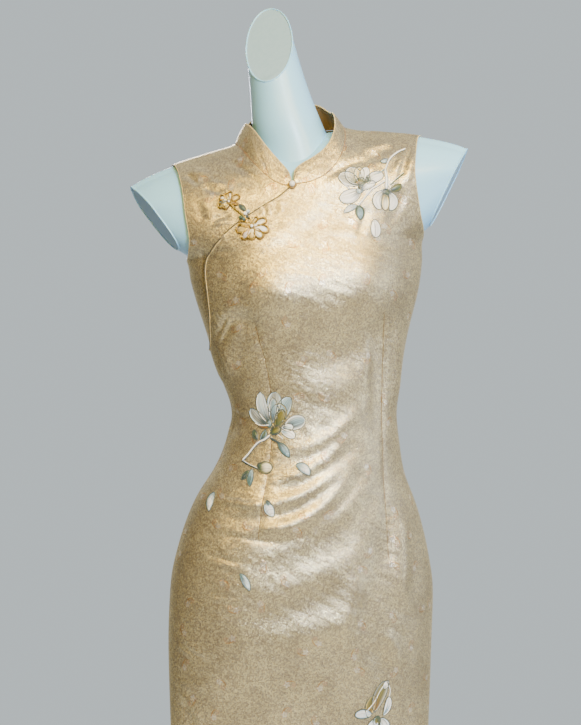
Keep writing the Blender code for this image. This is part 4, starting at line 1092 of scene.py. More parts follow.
def grained(name, constants, tones, grain, fine=None, spread=None, rough=None, bump=None,
            cloth=False):
    """A material in two tones that follow a grain. A scale counts grains to the metre, or on
    cloth to the millimetre, so 500 is 2 mm. grain and fine: scale, detail and
    roughness of the noise behind the tones and behind the relief, one noise if fine is left
    out; spread: ends of the step from tone to tone; rough: share and base of the roughness;
    bump: height in millimetres and strength; cloth: the grain is laid on the cloth's own
    millimetres and not in the metres of the object."""
    made, node, shader = start_material(name, constants)
    if cloth:
        place = node("VectorMath SCALE", {0: node("UVMap", uv_map="cloth"), "Scale": 1 / MM})
    else:
        place = node("NewGeometry")
    flat = FLAT if cloth else {}
    share = relief = node("TexNoise", {"Vector": place, **dict(zip(GRAIN, grain))}, **flat)
    if fine:
        relief = node("TexNoise", {"Vector": place, **dict(zip(GRAIN, fine))}, **flat)
    if spread:
        share = node("MapRange", share, *spread, **SOFT)
    first, second = map(colour, tones)
    plug(shader, [{"Base Color": node("Mix", {0: share, 6: first, 7: second}, **COLOURS)}])
    if rough:
        plug(shader, [{"Roughness": node("Math MULTIPLY_ADD", relief, *rough)}])
    if bump:
        bump = {"Height": relief, "Distance": bump[0] * MM, "Strength": bump[1]}
        plug(shader, [{"Normal": node("Bump", bump)}])
    return made


def wrong_side_in_painted_shade():
    """The matt back of the satin, warp floats hidden: a plain brown, darker than the face, that is
    painted shade for the cloth's inner faces as seen inside the collar; a thread grain, 1.1 mm and
    so coarser than the real threads, so that it shows."""
    constants = {"Sheen Weight": 0.15, "Specular IOR Level": 0.3, "Roughness": 0.7}
    return grained("jacquard silk, wrong side, painted shade", constants, ("#6E5026", "#94733F"), (0.9, 3.0),
                   bump=(0.15, 1.0), cloth=True)


def spun_thread(name, light, dark, roughness=0.5, grain=900.0):
    """Twisted or wrapped yarn: two tones and a fine bump that follow its strands. These are
    drawn 1.1 mm thick, and 2 mm on the bias binding: coarser than real ones, to show."""
    return grained(name, {"Sheen Weight": 0.3, "Roughness": roughness}, (dark, light),
                   (grain, 2.0, 0.6), spread=(0.35, 0.65), bump=(0.2, 0.7))


def gilt_wire():
    """Gilt wire wrapped in fine coils: warm yellow metal whose coils break up its shine. They
    are drawn 0.7 mm thick, coarser than real ones, to show."""
    return grained("gilt wire, coiled", {"Metallic": 0.85, "Roughness": 0.30},
                   ("#4E3C14", "#DDBE62"), (1400.0, 2.0), spread=(0.35, 0.65), bump=(0.25, 0.8))


def floss():
    """Untwisted embroidery floss in satin stitch: each stitch has its own colour, and its
    strands break up the gloss. They are drawn 0.7 mm thick, coarser than real ones, to show."""
    made, node, shader = start_material("silk floss, satin stitch", {
        "Sheen Weight": 0.35, "Sheen Roughness": 0.4, "Specular IOR Level": 0.6,
    })
    dyed = node("Attribute", attribute_name="dye", attribute_type="GEOMETRY")
    strands = {"Vector": node("NewGeometry"), "Scale": 1500.0, "Detail": 2.0}
    strands = node("TexNoise", strands)
    share = node("MapRange", strands, 0.3, 0.7, 0.0, 0.12, **SOFT)
    tone = {0: share, 6: dyed, 7: colour("#4A4A40")}
    plug(shader, [{
        "Base Color": node("Mix", tone, blend_type="MULTIPLY", **COLOURS),
        "Roughness": node("Math MULTIPLY_ADD", strands, 0.25, 0.28),
        "Normal": node("Bump", {"Height": strands, "Distance": 0.12 * MM}),
    }])
    return made


def polished_pearl():
    """A nacre bead: near white, soft pink to green play in patches of 4 mm, clear gloss."""
    constants = {"Roughness": 0.22, "Coat Weight": 0.6, "Coat Roughness": 0.08}
    return grained("pearl bead, polished nacre", constants, ("#F4E6DA", "#E6ECE4"), (260.0, 2.0))


def moulded_shell():
    """The form's skin: cool white moulded plastic, semi-gloss. Its tone drifts over 110 mm and
    a faint texture of 2.4 mm softens its gloss."""
    constants = {"Coat Weight": 0.25, "Coat Roughness": 0.22, "Specular IOR Level": 0.5}
    return grained("form, moulded white plastic", constants, ("#98D4FF", "#A2DBFF"), (9.0, 3.0),
                   fine=(420.0, 2.0), rough=(0.08, 0.36), bump=(0.03, 0.5))


def cut_face_plastic():
    """Sawn and sanded cut faces: the same plastic, greyer and duller, uneven over 6 mm."""
    return grained("form, sanded cut face", {"Specular IOR Level": 0.3, "Roughness": 0.62},
                   ("#8FB0C8", "#9FBED4"), (160.0, 4.0), bump=(0.05, 1.0))


def brushed_steel():
    """Turned and brushed steel: rings of fine scratches that stretch the highlights. They are
    drawn 0.4 mm apart, coarser than real ones, to show."""
    made, node, shader = start_material("steel, turned and brushed", {
        "Metallic": 1.0, "Base Color": colour("#B9BBBD"), "Anisotropic": 0.5,
    })
    spot = node("TexCoord", out=3)
    height = node("SeparateXYZ", spot, out=2)
    away = node("VectorMath MULTIPLY", spot, (1, 1, 0))
    line = node("CombineXYZ", node("VectorMath LENGTH", away, out=1), height, 0.0)
    brush = node("TexNoise", {"Vector": line, "Scale": 2600.0, "Detail": 3.0})
    plug(shader, [{
        "Roughness": node("Math MULTIPLY_ADD", brush, 0.2, 0.22),
        "Normal": node("Bump", {"Height": brush, "Distance": 0.02 * MM, "Strength": 0.5}),
    }])
    return made


def painted_floor():
    """Studio floor: matt pale paint, its tone uneven over a metre and its texture 7 mm."""
    return grained("studio floor, matt pale paint", {"Roughness": 0.9, "Specular IOR Level": 0.2},
                   ("#B0B2AC", "#B9BBB6"), (0.9, 3.0), fine=(140.0, 2.0), bump=(0.1, 0.4))


# ---- The dress ----

SEAM_SINK = 0.7 * MM
SEAM_HALF_WIDTH = 2.6 * MM
DEEPEST = 4.4 * MM
SHOULDERS_REST = (1.385, 1.425)  # stations between which the dress comes to rest on the form
HEM_RISE = 0.45 * MM
HEM_TURNED_UP = (HEM + 0.026, HEM + 0.029)  # where the turned-up cloth thins out and ends
COVERED = (0.010, 0.030)  # from the opening: where the underlap holds the front up, and its end


def arc_of(u, station, middle=0.0):
    """Length round the body's section from its middle to u."""
    at_front = math.cos(middle) > 0
    wide = section("half_width", station)
    deep = section("front_depth" if at_front else "back_depth", station)
    spots, weights = np.polynomial.legendre.leggauss(10)
    turn = (u - middle)[..., None] * (spots + 1) / 2
    speed = np.hypot(wide[..., None] * np.cos(turn), deep[..., None] * np.sin(turn))
    return (u - middle) * (speed @ weights) / 2


def skin(grid, lift):
    """Points above the body's surface."""
    u, station = grid[..., 0], grid[..., 1]
    return posed(body(u, station)) + normal(u, station) * lift[..., None]


def from_side(grid):
    """Distance of each place of a panel from its side seam, round the body."""
    u, station = grid[..., 0], grid[..., 1]
    around = np.minimum(np.abs(np.abs(u) - math.pi / 2), np.abs(np.abs(u - math.pi) - math.pi / 2))
    return around * section("front_depth", station)


def side_seam(grid, rise):
    """Creases faded out at the side seam, which itself lies in a slight valley."""
    gap = from_side(grid)
    sewn = ramp(grid[..., 1], SLIT_TOP - 0.004, SLIT_TOP + 0.010)
    sewn = sewn * (1 - ramp(grid[..., 1], UNDERARM - 0.004, UNDERARM + 0.012))
    faded = rise * (1 - sewn * (1 - ramp(gap, 0.0, 0.012)))
    return faded - sewn * SEAM_SINK * np.exp(-((gap / SEAM_HALF_WIDTH) ** 2))


def bounded(grid, rise):
    """Creases kept off the form below: shallower over the shoulders, where the dress rests."""
    room = DEEPEST * (1 - ramp(grid[..., 1], *SHOULDERS_REST)) + 0.05 * MM
    return np.where(rise < 0, room * np.tanh(rise / room), rise)


def hem_rise(grid):
    """The turned-up hem, a little thicker than the cloth above it."""
    return HEM_RISE * (1 - ramp(grid[..., 1], *HEM_TURNED_UP))


def front_edge(grid, places, rise):
    """Creases near the front's slanted edge, drawn by its stitches. Where the front lies on
    the underlap it can't sink far."""
    near = near_opening(grid)
    seam = 0.5 * pucker(near, places[..., 1] * 1.3 + places[..., 0] * 0.6)
    rise = rise + seam * (grid[..., 1] > OPENING_FOOT)
    covered = 1 - ramp(near, *COVERED)
    return np.where(rise < 0, rise * (1 - 0.6 * covered), rise)


def underlap_edge(grid, _places, rise):
    """The underlap's creases die away where the front's edge presses on it."""
    return rise * ramp(near_opening(grid), 0.001, 0.008)


def build_panel(name, grid, materials, creases, darts=(), lift=0.0, edge=None, middle=0.0,
                shift=0.0):
    """A panel of the dress with its creases and the darts of its bodice. lift: height of the
    panel over the body; edge: how the opening changes its creases."""
    base = np.broadcast_to(lift + CLOTH / 2, grid.shape[:2])
    places = skin(grid, base)[..., (0, 2)]
    rise = crease_rise(places, creases)
    distance = 1.0
    if darts:
        distance, along = nearest_dart(places, darts)
        rise = rise + dart_sink(distance, along)
    rise = rise + hem_rise(grid)
    if edge:
        rise = edge(grid, places, rise)
    rise = side_seam(grid, bounded(grid, rise))
    uv = np.stack([arc_of(grid[..., 0], grid[..., 1], middle) + shift, grid[..., 1]], axis=-1)
    outer, inner = skin(grid, base + rise), skin(grid, base + rise - SILK)
    return shell(name, outer, inner, materials, uv, distance)


COLLAR_BACK_COLUMNS = 150
COLLAR_SIDE_COLUMNS = 60
COLLAR_BOW = 0.7 * MM
COLLAR_WAVE = 0.25 * MM
COLLAR_CLOTH = (0.31, 1.62)  # where on the woven pattern the collar is cut, in metres
BACK_CLOTH = 0.7  # and how far to the side of the front the back is
COLLAR_ROWS = 16


def collar_grid():
    """(u, station) along the neckline from the wearer's left end round the back to the right
    end, the lift there, and the angle from centre front."""
    left = np.linspace(COLLAR_LEFT_GAP, math.pi / 2, COLLAR_SIDE_COLUMNS)
    right = np.linspace(-math.pi / 2, -COLLAR_RIGHT_GAP, COLLAR_SIDE_COLUMNS)
    back = np.linspace(math.pi / 2, -math.pi / 2, COLLAR_BACK_COLUMNS)
    grids = (neckline(left), neckline(back, True)[1:-1], neckline(right))
    lifts = (opening_lift(grids[0]), 0.0 * grids[1][:, 0], 0.0 * grids[2][:, 0])
    angles = np.concatenate([left, math.pi - back[1:-1], 2 * math.pi + right])
    return np.concatenate(grids), np.concatenate(lifts), angles


def collar_rise(angles):
    """Rise and inward lean of the collar at angles from centre front."""
    turn = np.where(angles > math.pi, angles - 2 * math.pi, angles)
    rise = read(COLLAR, COLLAR_COLUMNS, "turn_deg", "rise", np.degrees(turn))
    lean = read(COLLAR, COLLAR_COLUMNS, "turn_deg", "lean", np.degrees(turn))
    from_end = np.maximum(turn - COLLAR_LEFT_GAP, -turn - COLLAR_RIGHT_GAP)
    from_end = np.clip(from_end / COLLAR_END_TURN, 0, 1)
    rounded = np.sqrt(1 - (1 - from_end) ** 2)
    return rise * (COLLAR_END_SHARE + (1 - COLLAR_END_SHARE) * rounded), lean


def build_collar(materials):
    """The stand collar: a leaning ring, open at centre front, its ends rounded down."""
    grid, lift, angles = collar_grid()
    points = skin(grid, lift)
    cloth_normal = normal(grid[:, 0], grid[:, 1])
    rise, lean = collar_rise(angles)
    inward = np.stack([-np.sin(angles), np.cos(angles), np.zeros_like(angles)], axis=-1)
    roll = np.radians(posture("roll_deg", points[:, 2]))[:, None]
    up = np.concatenate([-np.sin(roll), 0 * roll, np.cos(roll)], axis=-1)
    direction = up + inward * lean[:, None]
    face = unit(np.cross(np.gradient(points, axis=0), unit(direction)))
    slant = np.linalg.norm(np.cross(face, cloth_normal), axis=-1, keepdims=True)
    foot = points + unit(direction) * (COLLAR_GAP + slant * (CLOTH + COLLAR_WALL) / 2)
    share = np.linspace(0, 1, COLLAR_ROWS + 1)[:, None]
    middle = foot[None] + share[..., None] * direction[None] * rise[None, :, None]
    across = np.broadcast_to(way_along(points), middle.shape[:2])
    tall = share * (rise * np.linalg.norm(direction, axis=-1))[None]
    # The stand bows outwards a little and its interlining puts soft waves in it.
    bow = COLLAR_BOW + COLLAR_WAVE * np.sin(across * 71.0 + 1.0)
    middle = middle + face * (bow * np.sin(share * math.pi))[..., None]
    uv = np.stack([across + COLLAR_CLOTH[0], tall + COLLAR_CLOTH[1]], axis=-1)
    outer, inner = middle + face * COLLAR_WALL / 2, middle - face * COLLAR_WALL / 2
    return shell("collar_band", outer, inner, materials, uv, 1.0), foot, middle, face


# ---- Bindings, piping and seams ----

PIPING_RADIUS = 1.0 * MM
BINDING_RADIUS = 0.9 * MM
FOLD_RADIUS = 0.6 * MM
FOLD_PLACE = 1.7 * MM  # from the front's edge to the folded silk edge beside its piping
COLLAR_ROLL_RADIUS = 0.95 * MM
COLLAR_SEAM_RADIUS = 0.5 * MM


def cord(name, path, step, radius, sides, material):
    """A round cord along a path."""
    return make_mesh(name, tube(even_path(path, step), radius, sides), material)


def build_piping(piping, light_edge):
    """The dark cord along the front's slanted edge, piping and painted shadow of the gap under that
    edge, and the folded silk edge beside it.
    """
    edge = opening_edge(320)
    height = PLY_LIFT + CLOTH / 2
    path = skin(edge, np.full(len(edge), height - 0.25 * MM))
    dark = cord("opening_piping_and_gap_shade", path, 1.0 * MM, PIPING_RADIUS, 10, piping)
    fold = moved_in(edge, FOLD_PLACE)[1:-1]
    path = skin(fold, np.full(len(fold), height - 0.15 * MM))
    return dark, cord("opening_folded_edge", path, 1.0 * MM, FOLD_RADIUS, 8, light_edge)


def build_bindings(binding):
    """The narrow silk bindings round both armholes."""
    low, high = np.linspace(UNDERARM, 1.30, 30), np.linspace(1.30, SHOULDER_STATION, 80)
    parts = []
    for side in (1, -1):
        edge = armhole_edge(np.concatenate([low, high[1:]])) * np.array([side, 1.0])
        behind = mirrored(edge[::-1]) + np.array([side * math.pi, 0.0])
        loop = np.concatenate([edge, behind])
        path = skin(loop, np.zeros(len(loop)))
        path = even_path(np.concatenate([path, path[:1]]), 2.0 * MM)[:-1]
        parts.append(tube(path, BINDING_RADIUS, 10, closed=True))
    return make_mesh("armhole_bindings", joined(parts), binding)


def build_collar_edges(foot, middle, face, binding, seam_and_gap_shade_thread):
    """The rolled edge round the collar's top and ends, and the seam at its foot: a dark cord that is
    also painted shade in the gap there.
    """
    path = np.concatenate([middle[:-1, 0], middle[-1], middle[-2::-1, -1]])
    rolled_edge = cord("collar_rolled_edge", path, 1.2 * MM, COLLAR_ROLL_RADIUS, 10, binding)
    path = foot + face * (COLLAR_WALL / 2 + 0.05 * MM)
    seam = cord("collar_seam_and_gap_shade", path, 1.5 * MM, COLLAR_SEAM_RADIUS, 8, seam_and_gap_shade_thread)
    return rolled_edge, seam


# ---- Button, frog and embroidery ----

PEARL_RADIUS = 0.0040
RING_RADIUS = 0.0046
BUTTON_STAND = 0.0052
RING_CORD_RADIUS = 1.4 * MM

DYES = {
    "white": "#FFFFFF",
    "cream": "#EFE7CC",
    "champagne": "#D8BE78",
    "blush": "#E6D2CE",
    "pale_blue": "#D2E4EE",
    "grey_blue": "#86A2B0",
    "grey": "#A9ABA6",
    "slate": "#34454F",
    "teal": "#47696E",
    "leaf": "#43563F",
    "olive": "#6E6833",
    "brown": "#7B5722",
    # shade is no floss colour: it is the painted shadow beside each padded petal.
    "shade": "#434C46",
}


def dye(name):
    """Linear red, green and blue of a dye."""
    return np.array(colour(DYES[name])[:3])


# Petals and leaves as seen from the front, in millimetres: foot and tip, width, sideways bow
# as a share of the length, dyes at foot, tip and edge, and how the stitches lie.
# Columns: x0, z0, x1, z1, width, bow, foot, tip, edge, lie.
SHOULDER_SPRAY = (
    (73, 1350, 64, 1372, 19, 0.05, "olive", "cream", "white", "open"),
    (76, 1352, 76, 1372, 12, 0.05, "olive", "champagne", "cream", "open"),
    (73, 1348, 48, 1359, 17, -0.10, "leaf", "grey", "white", "open"),
    (76, 1342, 49, 1331, 17, 0.12, "slate", "white", "white", "long"),
    (81, 1350, 86, 1372, 12, 0.08, "leaf", "white", "white", "long"),
    (84, 1350, 107, 1362, 13, 0.12, "leaf", "white", "white", "long"),
    (77, 1341, 96, 1351, 9, 0.12, "slate", "white", "white", "long"),
    (70, 1350, 82, 1355, 9, 0.0, "brown", "olive", "leaf", "long"),
    (75, 1345, 85, 1350, 6, 0.2, "slate", "leaf", "slate", "long"),
    (86, 1361, 87, 1351, 5, 0.0, "slate", "leaf", "slate", "slant"),
    (71, 1341, 79, 1340, 5, 0.0, "grey_blue", "pale_blue", "grey_blue", "slant"),
    (108, 1341, 103, 1317, 10, -0.30, "grey", "white", "white", "long"),
    (113, 1339, 115, 1317, 10, 0.30, "grey", "white", "white", "long"),
    (110, 1337, 109, 1316, 9, 0.0, "leaf", "cream", "champagne", "long"),
    (105, 1341, 116, 1338, 8, 0.0, "slate", "leaf", "slate", "slant"),
    (116, 1343, 130, 1350, 8, -0.08, "slate", "leaf", "olive", "long"),
    (114, 1384, 104, 1381, 4.5, 0.1, "slate", "pale_blue", "grey_blue", "slant"),
    (73, 1320, 55, 1311, 6.5, -0.1, "grey_blue", "white", "pale_blue", "slant"),
    (73, 1321, 76, 1303, 10, 0.05, "teal", "grey_blue", "leaf", "slant"),
    (94, 1303, 96, 1280, 12, 0.05, "white", "white", "white", "long"),
    (94, 1301, 95.5, 1285, 3.2, 0.05, "leaf", "leaf", "leaf", "slant"),
)
WAIST_SPRAY = (
    (-36, 1048, -34, 1077, 17, 0.05, "olive", "grey", "pale_blue", "open"),
    (-27, 1038, -15, 1070, 16, 0.10, "olive", "grey_blue", "pale_blue", "open"),
    (-45, 1034, -67, 1055, 13, 0.08, "slate", "grey", "pale_blue", "open"),
    (-22, 1031, 4, 1041, 17, 0.05, "slate", "grey_blue", "white", "open"),
    (-34, 1030, -28, 1062, 20, 0.0, "olive", "grey", "champagne", "open"),
    (-40, 1036, -38, 1069, 11, -0.05, "slate", "grey_blue", "white", "long"),
    (-43, 1037, -54, 1077, 13, 0.08, "slate", "pale_blue", "white", "long"),
    (-33, 1032, -25, 1054, 11, 0.0, "leaf", "olive", "olive", "long"),
    (-27, 1026, -10, 1018, 10, 0.1, "grey_blue", "white", "white", "long"),
    (-26, 1032, -12, 1033, 8, -0.1, "slate", "pale_blue", "white", "long"),
    (-40, 1022, -28, 1030, 10, 0.1, "leaf", "olive", "slate", "long"),
    (-43, 1031, -41, 1042, 5, 0.0, "teal", "grey_blue", "teal", "slant"),
    (-43, 1031, -58, 1035, 3.5, 0.1, "brown", "brown", "brown", "slant"),
    (-59, 1015, -62, 1027, 5.5, 0.1, "slate", "leaf", "leaf", "slant"),
    (-54, 1015, -48, 1027, 6, -0.1, "slate", "leaf", "grey_blue", "slant"),
    (-31, 1011, -17, 993, 9, 0.05, "slate", "grey_blue", "teal", "slant"),
    (-58, 978, -39, 978, 14, 0.05, "leaf", "cream", "olive", "long"),
    (-58, 980, -50, 981, 7, 0.0, "slate", "leaf", "slate", "slant"),
    (-69, 974, -79, 963, 5.5, 0.0, "leaf", "slate", "leaf", "slant"),
    (-65, 976, -68, 955, 7, -0.05, "grey_blue", "teal", "teal", "slant"),
    (-8, 982, 9, 970, 10.5, 0.16, "grey_blue", "white", "grey_blue", "slant"),
    (-45, 936, -37, 917, 11, -0.08, "pale_blue", "white", "pale_blue", "slant"),
    (-46, 937, -42, 929, 5, 0.0, "slate", "teal", "slate", "slant"),
    (-80, 843, -68, 822, 8, 0.05, "teal", "pale_blue", "grey_blue", "slant"),
    (-115, 944, -122, 921, 8, -0.1, "grey_blue", "white", "grey_blue", "slant"),
)
KNEE_SPRAY = (
    (96, 655, 112, 694, 15, 0.05, "brown", "olive", "grey", "long"),
    (88, 648, 95, 676, 12, 0.05, "brown", "olive", "champagne", "open"),
    (108, 648, 115, 672, 8, -0.1, "grey_blue", "white", "white", "long"),
    (110, 684, 114, 694, 6, 0.1, "grey", "white", "white", "slant"),
    (98, 646, 86, 628, 12, 0.1, "grey_blue", "white", "pale_blue", "long"),
    (104, 644, 112, 624, 11, 0.1, "grey", "white", "pale_blue", "long"),
    (92, 650, 70, 652, 11, -0.1, "pale_blue", "white", "grey_blue", "long"),
    (100, 648, 98, 636, 9, 0.0, "leaf", "olive", "leaf", "long"),
    (84, 606, 70, 596, 7, 0.1, "slate", "grey_blue", "teal", "slant"),
    (90, 598, 104, 586, 8, -0.1, "slate", "pale_blue", "teal", "slant"),
    (80, 580, 66, 570, 7, 0.1, "leaf", "grey_blue", "leaf", "slant"),
    (84, 570, 88, 552, 8, 0.0, "grey_blue", "white", "teal", "slant"),
    (58, 548, 46, 534, 9, 0.1, "pale_blue", "white", "pale_blue", "slant"),
)

# Stems: points, radius in millimetres and dyes that take turns along them.
STEMS = {
    "shoulder": (
        (((138, 1400), (127, 1395), (116, 1385), (111, 1374), (109, 1368)), 1.1, "white", "slate"),
        (((110, 1372), (104, 1367), (98, 1364), (94, 1362)), 0.8, "grey_blue", "slate"),
        (((109, 1369), (110.5, 1356), (110, 1344)), 1.7, "white", "grey_blue"),
        (((109, 1355), (99, 1348), (92, 1344), (85, 1336), (77, 1326), (73, 1321)), 1.15,
         "white", "slate"),
        (((116, 1349), (124, 1357), (135, 1366)), 1.0, "leaf", "white"),
        (((48, 1358), (54, 1350), (62, 1343)), 0.9, "white", "grey_blue"),
    ),
    "waist": (
        (((-42, 1021), (-49, 1015), (-57, 1011), (-63, 1005), (-70, 996), (-78, 987)), 1.15,
         "white", "slate"),
        (((-79, 987), (-70, 982), (-58, 977)), 0.95, "slate", "white"),
        (((-42, 1017), (-36, 1014), (-30, 1011)), 1.1, "slate", "slate"),
        (((-42, 1034), (-52, 1033), (-62, 1036)), 0.8, "white", "brown"),
        (((-64, 977), (-67, 973), (-70, 974)), 0.45, "white", "slate"),
        (((-32, 1022), (-28, 1019), (-25, 1016)), 0.5, "white", "grey_blue"),
    ),
    "knee": (
        (((112, 694), (103, 682), (96, 669), (84, 655)), 0.6, "white", "champagne"),
        (((114, 690), (117, 681), (114, 668)), 0.6, "white", "grey_blue"),
        (((100, 640), (94, 618), (86, 600), (82, 578), (70, 558), (58, 549)), 0.75,
         "white", "slate"),
    ),
}


class Ground:
    """The outer faces of the cloth, found by looking at them from the front."""

    def __init__(self, *objects):
        vertices, polygons = [], []
        for obj in objects:
            start = len(vertices)
            vertices += [vertex.co[:] for vertex in obj.data.vertices]
            polygons += [[k + start for k in face.vertices] for face in obj.data.polygons]
        self.tree = BVHTree.FromPolygons(vertices, polygons)

    def lay(self, places, heights):
        """Points over places (x, z) in millimetres, at heights in millimetres."""
        flat = np.asarray(places, float).reshape(-1, 2) * MM
        tall = np.broadcast_to(heights, np.shape(places)[:-1]).ravel() * MM
        found = np.empty((len(flat), 3))
        for k, (x, z) in enumerate(flat):
            hit, facing, _, _ = self.tree.ray_cast(Vector((x, -1.0, z)), Vector((0, 1, 0)))
            found[k] = hit - facing * math.copysign(tall[k], facing.y)
        return found.reshape(*np.shape(places)[:-1], 3)


def leaf_outline(t, fullest, blunt):
    """Half width of a petal or leaf along its length, 1 at its fullest place."""
    a, b = blunt * fullest, blunt * (1 - fullest)
    t = np.clip(t, 1e-4, 1 - 1e-4)
    return (t / fullest) ** a * ((1 - t) / (1 - fullest)) ** b


# How each kind of stitch is laid: its pitch in millimetres, where the shape is fullest and how
# blunt its ends are, the height of every other stitch in millimetres, the share of the padding
# under it, the darkest tone of its floss, and what every other stitch adds to that: painted
# shade on the stitches between, painted light on the raised ones.
LIES = {
    "long": (1.5, 0.56, 1.2, 0.16, 1.0, 0.78, 0.42),
    "open": (2.2, 0.56, 1.2, 0.34, 0.35, 0.55, 0.66),
    "slant": (0.75, 0.48, 1.5, 0.16, 1.0, 0.78, 0.42),
}
FLOSS_SPREAD = 0.25  # how much the floss differs from stitch to stitch
OUTLINE = 0.42  # radius in millimetres of the cord round a petal
# The dark line is a painted shadow that the padded petal throws on the cloth.
OUTLINE_SHADE = 0.62  # radius of the dark line outside it
OUTLINE_STEP = 0.8  # from the cord to the dark line, in millimetres


class Stitchwork:
    """Collects stitched shapes on a ground of cloth as one mesh with a dye at each point."""

    def __init__(self, ground, seed):
        self.ground = ground
        self.random = np.random.default_rng(seed)
        self.parts = []
        self.dyes = []

    def keep(self, vertices, faces, dyes):
        """Keeps one more shape."""
        vertices = np.asarray(vertices).reshape(-1, 3)
        self.parts.append((vertices, faces))
        self.dyes.append(np.broadcast_to(dyes, (len(vertices), 3)))

    def satin(self, x0, z0, x1, z1, width, bow, foot, tip, edge, lie, pad=0.7, outlined=True):
        """One petal or leaf in satin stitch, over a padded middle. lie: long for stitches
        along it, slant for stitches that slant from its midrib, open for wide-set long ones."""
        start, run = np.array([x0, z0], float), np.array([x1 - x0, z1 - z0], float)
        length = np.hypot(*run)
        side = np.array([-run[1], run[0]]) / length
        slanting = lie == "slant"
        pitch, fullest, blunt, tall, padding, dull, bright = LIES[lie]
        rows = 2 * max(5, int(length / pitch)) + 1 if slanting else 13
        columns = 9 if slanting else 2 * max(3, int(width / pitch)) + 1
        t = np.linspace(0, 1, rows)[:, None] * np.ones(columns)
        c = np.linspace(-1, 1, columns)[None] * np.ones((rows, 1))
        if slanting:
            t = np.clip(t + 0.16 * np.abs(c) * np.sin(math.pi * t), 0, 1)
        half = width / 2 * leaf_outline(t, fullest, blunt)
        axis = start + t[..., None] * run + side * (bow * length * 4 * t * (1 - t))[..., None]
        lean = unit(run + side * (bow * length * 4 * (1 - 2 * t))[..., None])
        across = np.stack([-lean[..., 1], lean[..., 0]], axis=-1)
        places = axis + across * (c * half)[..., None]
        parity = np.arange(rows)[:, None] % 2 if slanting else np.arange(columns)[None] % 2
        dome = np.sqrt(np.clip(1 - c**2, 0, 1)) * np.clip(np.sin(math.pi * t), 0, 1) ** 0.4
        ridge = tall * parity * (dome > 0.05)
        groove = 0.25 * np.exp(-((c / 0.16) ** 2)) if slanting else 0.0
        height = pad * padding * dome + ridge * dome - groove * dome - 0.05
        low, high, rim = map(dye, (foot, tip, edge))
        blend_up = ramp(t + self.random.normal(0, 0.09, (1, columns)), 0.12, 0.62)[..., None]
        dyes = low + blend_up * (high - low)
        rim_share = (0.75 * np.abs(c) ** 3)[..., None]
        dyes = dyes + rim_share * (rim - dyes)
        each = (rows, 1) if slanting else (1, columns)
        strand = self.random.normal(0.97, FLOSS_SPREAD, each)[..., None]
        # Every other stitch is painted lighter than the ones between: painted light and shade of the
        # stitch ridges.
        wear_and_ridge_shade = dull + bright * parity
        dyes = np.clip(dyes * strand * wear_and_ridge_shade[..., None], 0, 1)
        vertices = self.ground.lay(places, height)
        flip = np.cross(run, side) > 0
        self.keep(vertices, grid_faces(rows, columns, flip=not flip), dyes.reshape(-1, 3))
        if outlined:
            loop = np.concatenate([places[:, 0], places[::-1, -1]])
            self.line(loop, OUTLINE, rim * 1.1, smooth_it=False)
            # A dark line just outside the cord: painted shadow of the petal on the cloth.
            off = loop - loop.mean(axis=0)
            far = np.linalg.norm(off, axis=-1, keepdims=True) + 1e-6
            petal_shadow_line = loop + OUTLINE_STEP * off / far
            self.line(petal_shadow_line, OUTLINE_SHADE, dye("shade"), smooth_it=False)

    def line(self, points, radius, dyes, smooth_it=True, dash=2.6):
        """A couched cord along points, its dyes taking turns every few millimetres."""
        points = np.asarray(points, float)
        way = way_along(points)
        keep = np.concatenate([[True], np.diff(way) > 1e-6])
        points, way = points[keep], way[keep]
        spots = np.linspace(0, way[-1], max(3, int(way[-1] / 0.7)))
        path = self.ground.lay(at_lengths(points, way, spots, smooth_it), radius * 0.8)
        ends = np.clip(np.minimum(spots, way[-1] - spots) / 1.2, 0.35, 1)
        twist = 1 + 0.10 * np.cos(spots * 2 * math.pi / 1.4)
        sides = 6
        vertices, faces = tube(path, radius * MM * ends * twist, sides)
        dyes = np.atleast_2d(dyes)
        turn = (spots / dash).astype(int) % len(dyes)
        self.keep(vertices, faces, np.clip(np.repeat(dyes[turn], sides, axis=0), 0, 1))

    def build(self, name, material):
        """The kept shapes as one named object."""
        obj = make_mesh(name, joined(self.parts), material)
        dyes = np.concatenate(self.dyes)
        layer = obj.data.attributes.new("dye", "FLOAT_COLOR", "POINT")
        layer.data.foreach_set("color", np.c_[dyes, np.ones(len(dyes))].astype(np.float32).ravel())
        return obj


def embroider(name, spray, stems, ground, seed, material):
    """One spray of flowers: its stems, then its leaves and petals over them."""
    work = Stitchwork(ground, seed)
    for points, radius, main_dye, side_dye in stems:
        places = np.array(points, float)
        run = np.gradient(places, axis=0)
        beside = np.stack([-run[:, 1], run[:, 0]], axis=-1) / np.hypot(*run.T)[:, None]
        work.line(places + beside * radius, 0.55 * radius, dye(side_dye))
        work.line(places, radius, dye(main_dye))
    for order, row in enumerate(spray):
        work.satin(*row, pad=0.7 + 0.05 * order)
    return work.build(name, material)


def twisted(path, strand, pitch, count=2, closed=False):
    """Cords of some strands twisted round a path."""
    _, side, top = tube_frames(path, closed)
    way = way_along(path)
    total = way[-1] + (np.linalg.norm(path[0] - path[-1]) if closed else 0)
    turns = max(1, round(total / pitch))
    parts = []
    for k in range(count):
        angle = (2 * math.pi * (turns * way / total + k / count))[:, None]
        line = path + strand * 0.9 * (np.cos(angle) * side + np.sin(angle) * top)
        parts.append(tube(line, strand, 8, closed=closed))
    return joined(parts)


